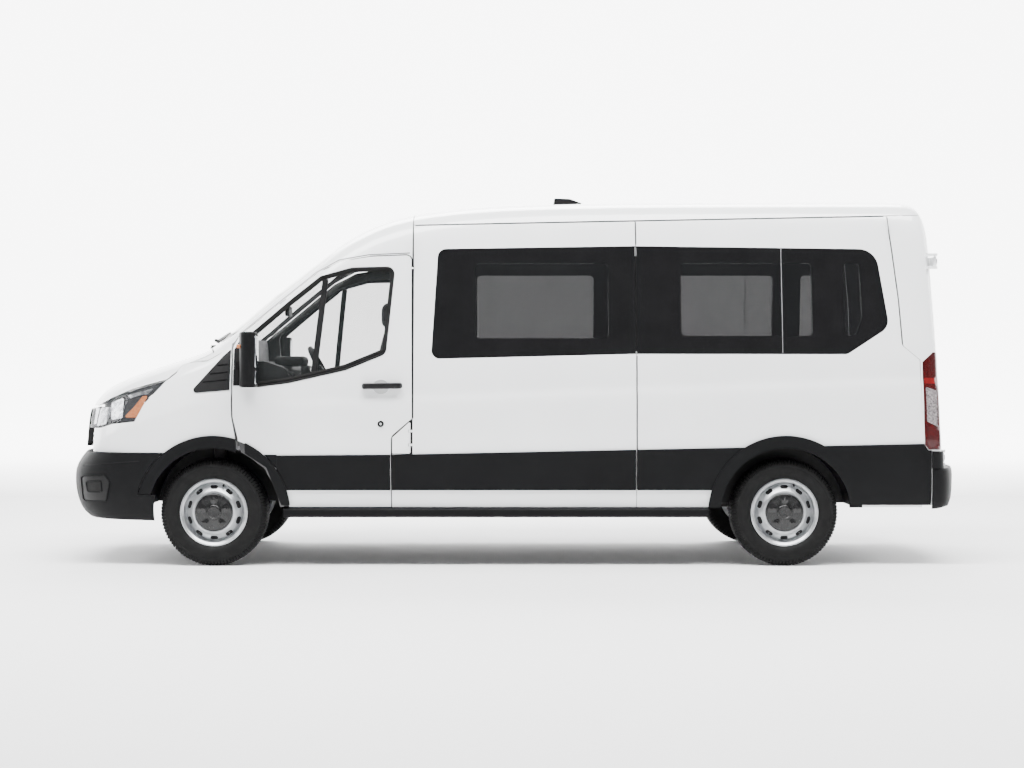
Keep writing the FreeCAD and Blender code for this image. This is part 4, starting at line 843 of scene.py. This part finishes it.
fender = surfaceOf("fenders")
bumper = surfaceOf("bumper_front")
for label, side in flanks:
    door = "front_door_" + label
    shell = surfaceOf(door)
    patch("fender_triangle_" + label, fender, fenderTrim["triangle"], label, 0.005, 0.006, "black",
          radius=[0.02, 0.02, 0.004, 0.004])
    for index, line in enumerate(fenderTrim["ribs"]):
        strip("triangle_rib_%d_%s" % (index, label), fender, line, label, barProfile(0.0045, 0.003, 0.0105),
              "charcoal", "chassis", closed=False)
    x, z = doorTrim["lock"]
    patch("door_lock_" + label, shell, ellipse(x, z, doorTrim["lockRadius"], doorTrim["lockRadius"], 24),
          label, 0.0035, 0.004, "black", door, step=0.01)
    patch("door_lock_core_" + label, shell, ellipse(x, z, doorTrim["coreRadius"], doorTrim["coreRadius"], 16),
          label, 0.0052, 0.003, "bright", door, step=0.01)
    makeMirrorShell("mirror_shell_" + label, side, door)
    sideBlocks("mirror_glass_" + label, mirrors["glasses"], side, 0.0028, "mirror", door)
    sideBlocks("mirror_lamp_" + label, [mirrors["lamp"]], side, 0.006, "amber", door)
    bowl = ellipse(*doorTrim["bowl"], doorTrim["bowlWide"], doorTrim["bowlHigh"], 32)
    # The bowl patch is grey: painted shade of the handle recess
    patch("handle_bowl_" + label, shell, bowl, label, 0.0006, 0.002, "bowl", door, step=0.02)
    strip("handle_bowl_rim_" + label, shell, bowl, label, doorTrim["bowlRim"], "white", door,
          spacing=0.01)
    strip("door_handle_" + label, shell, doorTrim["handle"], label, doorTrim["grip"], "black", door,
          closed=False, spacing=0.006, scales=lambda share: min(1.0, 0.35 + 14 * min(share,
                                                                                     1 - share)) ** 0.5)
    patch("fender_edge_" + label, fender, fenderTrim["edge"], label, 0.0024, 0.002, "white", step=0.05)
    patch("band_corner_" + label, shell, doorTrim["bandCorner"], label, 0.0112, 0.010, "charcoal", door)
    patch("fog_recess_" + label, bumper, fog["recess"], label, 0.0015, 0.004, "black",
          radius=0.02, step=0.02)
    strip("fog_rim_" + label, bumper, fog["recess"], label, fog["rim"], "charcoal",
          radius=0.02, spacing=0.02, depth=0.3)
    patch("fog_lamp_" + label, bumper, fog["lamp"], label, 0.0035, 0.003, "rubber",
          radius=0.012, step=0.02)
    strip("fog_inner_rim_" + label, bumper, fog["lamp"], label, fog["innerRim"], "charcoal", radius=0.012,
          spacing=0.02, depth=0.3)
    strip("bumper_crease_" + label, bumper, fog["crease"], label, fog["creaseRim"], "charcoal", closed=False,
          depth=0.3)
print("trim done")


# What shows behind the headlamps' lenses from the side: finish, lift, rounding and outline
headlamp = {
    "base": ("black", -0.024, 0.0, [(2.702, 0.926), (2.630, 0.940), (2.485, 0.958), (2.425, 1.068),
                                    (2.285, 1.215), (2.495, 1.155), (2.655, 1.090), (2.715, 1.060)]),
    "bright": ("reflector", -0.012, 0.012, [(2.655, 1.070), (2.600, 1.092), (2.566, 1.104), (2.566, 0.970),
                                            (2.650, 0.957)]),
    "amber": ("amber", -0.010, 0.008, [(2.555, 0.975), (2.490, 1.043), (2.434, 1.115), (2.398, 1.118),
                                       (2.424, 1.060), (2.462, 0.975)]),
    "side": ("reflector", -0.012, 0.004, [(2.395, 1.128), (2.440, 1.124), (2.520, 1.100), (2.540, 1.118),
                                          (2.470, 1.140), (2.360, 1.168)]),
}
# The same from the front: finish, lift, inner and outer y. Fields of the tail lamp: finish, lift, outline
headlampFront = {"bowl": ("black", -0.028, 0.545, 0.865), "beam": ("reflector", -0.018, 0.560, 0.690),
                 "dip": ("reflector", -0.018, 0.715, 0.850)}
headlampHeights = (0.912, 0.928, 1.046, 1.030)
tailLamp = {
    "tailRed": ("redBright", 0.0012, [(-2.700, 1.236), (-2.803, 1.236), (-2.803, 1.196), (-2.700, 1.200)]),
    "tailClear": ("ribbed", 0.0012, [(-2.708, 1.178), (-2.796, 1.146), (-2.803, 0.908), (-2.716, 0.950)]),
    "tailLow": ("redDeep", 0.0008, [(-2.712, 0.930), (-2.803, 0.890), (-2.806, 0.790), (-2.735, 0.780),
                                    (-2.714, 0.812)]),
}
front = surfaceOf("headlamps")
tail = surfaceOf("tail_lamps")
for label, side in flanks:
    for part, (finish, lift, radius, outline) in headlamp.items():
        patch("headlamp_%s_%s" % (part, label), front, outline, label, lift, 0.002, finish,
              radius=radius, step=0.02, depth=0.5)
    for part, (finish, lift, low, high) in headlampFront.items():
        outline = [(side * y, z) for y, z in zip((low, high, high, low), headlampHeights)]
        patch("headlamp_%s_%s" % (part, label), front, outline, "front", lift, 0.002, finish,
              radius=0.012, step=0.02, depth=0.5)
    for part, (finish, lift, outline) in tailLamp.items():
        patch("%s_%s" % (part, label), tail, outline, label, lift, 0.002, finish, radius=0.008, step=0.02)
print("lamps done")


# Cowl and wipers
cowl = {
    "outline": [(2.076, -0.30), (2.055, -0.42), (2.020, -0.655), (1.984, -0.655), (1.995, -0.60),
                (2.020, -0.40), (2.038, 0.0),
                (2.020, 0.40), (1.995, 0.60), (1.984, 0.655), (2.020, 0.655), (2.055, 0.42),
                (2.076, 0.30)],
    "wipers": [[(1.990, 0.56), (1.930, 0.25), (1.900, -0.08)],
               [(2.005, -0.06), (1.960, -0.35), (1.890, -0.64)]],
    "blade": [(-0.005, 0.002), (-0.004, 0.014), (0.004, 0.016), (0.005, 0.002)],
    "arm": [(-0.009, 0.016), (-0.006, 0.030), (0.006, 0.030), (0.009, 0.016)],
}
screen = surfaceOf("windscreen")
patch("cowl_panel", surfaceOf("cab_frame"), cowl["outline"], "up", 0.003, 0.006, "black", step=0.04,
      depth=0.5)
for index, line in enumerate(cowl["wipers"]):
    strip("wiper_blade_%d" % index, screen, line, "up", cowl["blade"], "rubber",
          closed=False, radius=0.3, depth=0.5)
    strip("wiper_arm_%d" % index, screen, line[:2], "up", cowl["arm"], "black",
          closed=False, depth=0.5)

# Rear doors: blank plate in its frame, handle and hinge insets
rearTrim = {
    "plate": {"y": 0.30, "z": 0.98, "width": 0.36, "height": 0.17, "shrink": 0.94},
    "plateRim": [(-0.012, 0.0), (-0.008, 0.012), (0.004, 0.012), (0.010, 0.0)],
    "handle": [(0.075, 1.145), (0.30, 1.145)],
    "grip": [(-0.012, 0.0), (-0.010, 0.026), (0.010, 0.028), (0.014, 0.0)],
    "hingeHeights": (0.71, 2.005), "hingeY": 0.884, "hingeBack": 0.031, "hingeSize": (0.012, 0.010, 0.034),
}
plate = rearTrim["plate"]
plateCorners = [(plate["y"] + a * plate["width"] / 2, plate["z"] + b * plate["height"] / 2)
                for a, b in ((-1, -1), (1, -1), (1, 1), (-1, 1))]
keep = plate["shrink"]
blank = [(y * keep + plate["y"] * (1 - keep), z * keep + plate["z"] * (1 - keep)) for y, z in plateCorners]
leftDoor = surfaceOf("rear_door_left")
strip("plate_frame", leftDoor, plateCorners, "rear", rearTrim["plateRim"], "black", "rear_door_left",
      radius=0.02)
patch("blank_plate", leftDoor, blank, "rear", 0.004, 0.003, "steel", "rear_door_left",
      radius=0.012)
strip("rear_handle", leftDoor, rearTrim["handle"], "rear", rearTrim["grip"], "black", "rear_door_left",
      closed=False)
for label, side in flanks:
    for z in rearTrim["hingeHeights"]:
        x = place["tail"] + (z - place["tailBottom"]) * place["lean"] - rearTrim["hingeBack"]
        sideBlocks("hinge_inset_%s_%d" % (label, round(z * 100)),
                   [((x, rearTrim["hingeY"], z), rearTrim["hingeSize"])], side, 0.003, "black",
                   "rear_door_" + label)

# Sliding door's rail and handle, and the treads of the running boards
slide = {
    "rail": [(-0.84, 1.176), (-2.15, 1.196)],
    "railProfile": [(-0.016, -0.002), (-0.014, 0.010), (-0.006, 0.011), (-0.004, 0.004), (0.004, 0.004),
                    (0.006, 0.011), (0.014, 0.010), (0.016, -0.002)],
    "handle": [(0.56, 1.172), (0.33, 1.180)],
    "grip": [(-0.013, 0.0), (-0.012, 0.034), (0.010, 0.036), (0.013, 0.0)],
}
boards = {"x": 0.105, "y": 0.930, "z": 0.3852, "pitch": 0.022, "count": 3, "size": (2.72, 0.010, 0.005)}
strip("slide_rail", surfaceOf("quarter_panels"), slide["rail"], "right", slide["railProfile"], "black",
      closed=False)
strip("slide_handle", surfaceOf("sliding_door"), slide["handle"], "right", slide["grip"], "black",
      closed=False)
for label, side in flanks:
    bm = bmesh.new()
    for step in range(boards["count"]):
        y = side * (boards["y"] + boards["pitch"] * step)
        block(bm, (boards["x"], y, boards["z"]), boards["size"], 0.0018, 2)
    finished("board_treads_" + label, bm, "rubber", "chassis")
print("fittings done")


# Seats: each cushion starts as a cube, is rounded and crowned, and has its seams pressed in.
# A seam is the axis it faces, the axis it is placed along, its place, its width and its depth.
def cushion(name, centre, size, rounding, crown, seamLines, lean=0.0, steps=13):
    bm = bmesh.new()
    bmesh.ops.create_cube(bm, size=2)
    bmesh.ops.subdivide_edges(bm, edges=bm.edges[:], cuts=steps, use_grid_fill=True)
    half = Vector(size) / 2
    for vertex in bm.verts:
        share = vertex.co.copy()
        outer = Vector([share[k] * half[k] for k in range(3)])
        core = Vector([max(rounding - half[k], min(half[k] - rounding, outer[k])) for k in range(3)])
        away = outer - core
        spot = core + away.normalized() * rounding if away.length > 0 else core
        for k in range(3):
            others = [n for n in range(3) if n != k]
            spot[k] += crown[k] * (1 - share[others[0]] ** 2) * (1 - share[others[1]] ** 2) * share[k]
        for axis, across, where, width, depth in seamLines:
            facing = max(0.0, share[axis]) ** 3
            spot[axis] -= depth * facing * math.exp(-((spot[across] - where) / width) ** 2)
        vertex.co = spot
    tilt = Matrix.Translation(centre) @ Matrix.Rotation(lean, 4, "Y")
    bmesh.ops.transform(bm, matrix=tilt, verts=bm.verts)
    obj = finished(name, bm, "cloth", angle=80)
    soften = obj.modifiers.new("soften", "SUBSURF")
    soften.levels = 1
    soften.render_levels = 1
    return obj


backLean = math.radians(-11)
frontSeat = {
    "places": [(0.850, 0.400), (0.850, -0.400)],
    "baseSeams": [(2, 1, 0.15, 0.014, 0.010), (2, 1, -0.15, 0.014, 0.010), (2, 0, 0.02, 0.012, 0.007)],
    "backSeams": [(0, 1, 0.15, 0.014, 0.010), (0, 1, -0.15, 0.014, 0.010), (0, 2, 0.05, 0.012, 0.007)],
    "posts": (-0.06, 0.06),
}
# Each row of the rear benches: x, lowest and highest y, number of seats
benches = [(-0.060, -0.380, 0.880, 3), (-0.860, -0.380, 0.880, 3), (-1.640, -0.380, 0.640, 2),
           (-2.480, -0.640, 0.640, 3)]


def makeFrontSeat(tag, x, y, replaces):
    cushion("seat_base_" + tag, (x + 0.235, y, 0.992), (0.47, 0.48, 0.118), 0.045, (0.008, 0.006, 0.014),
            frontSeat["baseSeams"])
    cushion("seat_back_" + tag, (x + 0.010, y, 1.292), (0.10, 0.47, 0.55), 0.042, (0.016, 0.006, 0.010),
            frontSeat["backSeams"], backLean)
    cushion("seat_head_" + tag, (x - 0.015, y, 1.656), (0.09, 0.24, 0.165), 0.036, (0.008, 0.006, 0.006), [],
            steps=9)
    bm = bmesh.new()
    block(bm, (x + 0.225, y, 0.784), (0.42, 0.40, 0.287), 0.03)
    for offset in frontSeat["posts"]:
        bmesh.ops.create_cone(bm, cap_ends=True, segments=14, radius1=0.007, radius2=0.007, depth=0.05,
                              matrix=Matrix.Translation((x - 0.015, y + offset, 1.571)))
    finished("seat_plinth_" + tag, bm, "cabin", replaces=replaces)


def makeBench(row, x, low, high, count, replaces):
    width = (high - low) / count
    for index in range(count):
        y = low + width * (index + 0.5)
        tag = "%d_%d" % (row, index)
        cushion("seat_base_" + tag, (x + 0.225, y, 1.051), (0.48, width - 0.012, 0.117), 0.042,
                (0.006, 0.004, 0.014), [(2, 0, 0.03, 0.012, 0.007)], steps=11)
        cushion("seat_back_" + tag, (x + 0.012, y, 1.268), (0.096, width - 0.012, 0.42), 0.04,
                (0.014, 0.004, 0.006), [(0, 2, 0.04, 0.012, 0.007)], backLean, steps=11)
    bm = bmesh.new()
    for y in (low + 0.12, high - 0.12):
        block(bm, (x + 0.23, y, 0.815), (0.30, 0.045, 0.348), 0.012)
        block(bm, (x + 0.23, y, 0.652), (0.40, 0.080, 0.022), 0.008)
    block(bm, (x + 0.225, (low + high) / 2, 0.978), (0.42, high - low - 0.06, 0.030), 0.010)
    finished("bench_frame_%d" % row, bm, "chassis", replaces=replaces)


for index, (x, y) in enumerate(frontSeat["places"]):
    makeFrontSeat("front_%d" % index, x, y, ("front_seats",) if index == 0 else ())
for row, bench in enumerate(benches):
    makeBench(row, *bench, ("rear_seats",) if row == 0 else ())
print("seats done")


# Cabin: inner mirror with its foot, instrument hood, console, vents and screen
cabin = {
    "mirror": (1.565, 0.0, 1.700), "mirrorSize": (0.030, 0.240, 0.075), "foot": (1.600, 0.0, 1.760),
    "footSize": (0.060, 0.020, 0.090), "footTurn": math.radians(30),
    "hood": (1.505, 0.40, 1.345), "hoodSize": (0.200, 0.400, 0.070),
    "console": (1.440, 0.0, 1.210), "consoleSize": (0.060, 0.300, 0.220),
    "ventPlaces": (-0.72, -0.30, 0.72), "ventSize": (0.040, 0.120, 0.070),
    "screen": (1.4075, 0.0, 1.235), "screenSize": (0.006, 0.240, 0.130),
}
bm = bmesh.new()
block(bm, cabin["mirror"], cabin["mirrorSize"], 0.012)
block(bm, cabin["foot"], cabin["footSize"], 0.008, turn=cabin["footTurn"])
finished("inner_mirror", bm, "black")
bm = bmesh.new()
block(bm, cabin["hood"], cabin["hoodSize"], 0.028)
block(bm, cabin["console"], cabin["consoleSize"], 0.022)
for y in cabin["ventPlaces"]:
    block(bm, (1.468, y, 1.240), cabin["ventSize"], 0.014)
finished("dash_details", bm, "cabin")
bm = bmesh.new()
block(bm, cabin["screen"], cabin["screenSize"], 0.0025)
finished("dash_screen", bm, "glassBlack", "chassis")
print("cabin done")
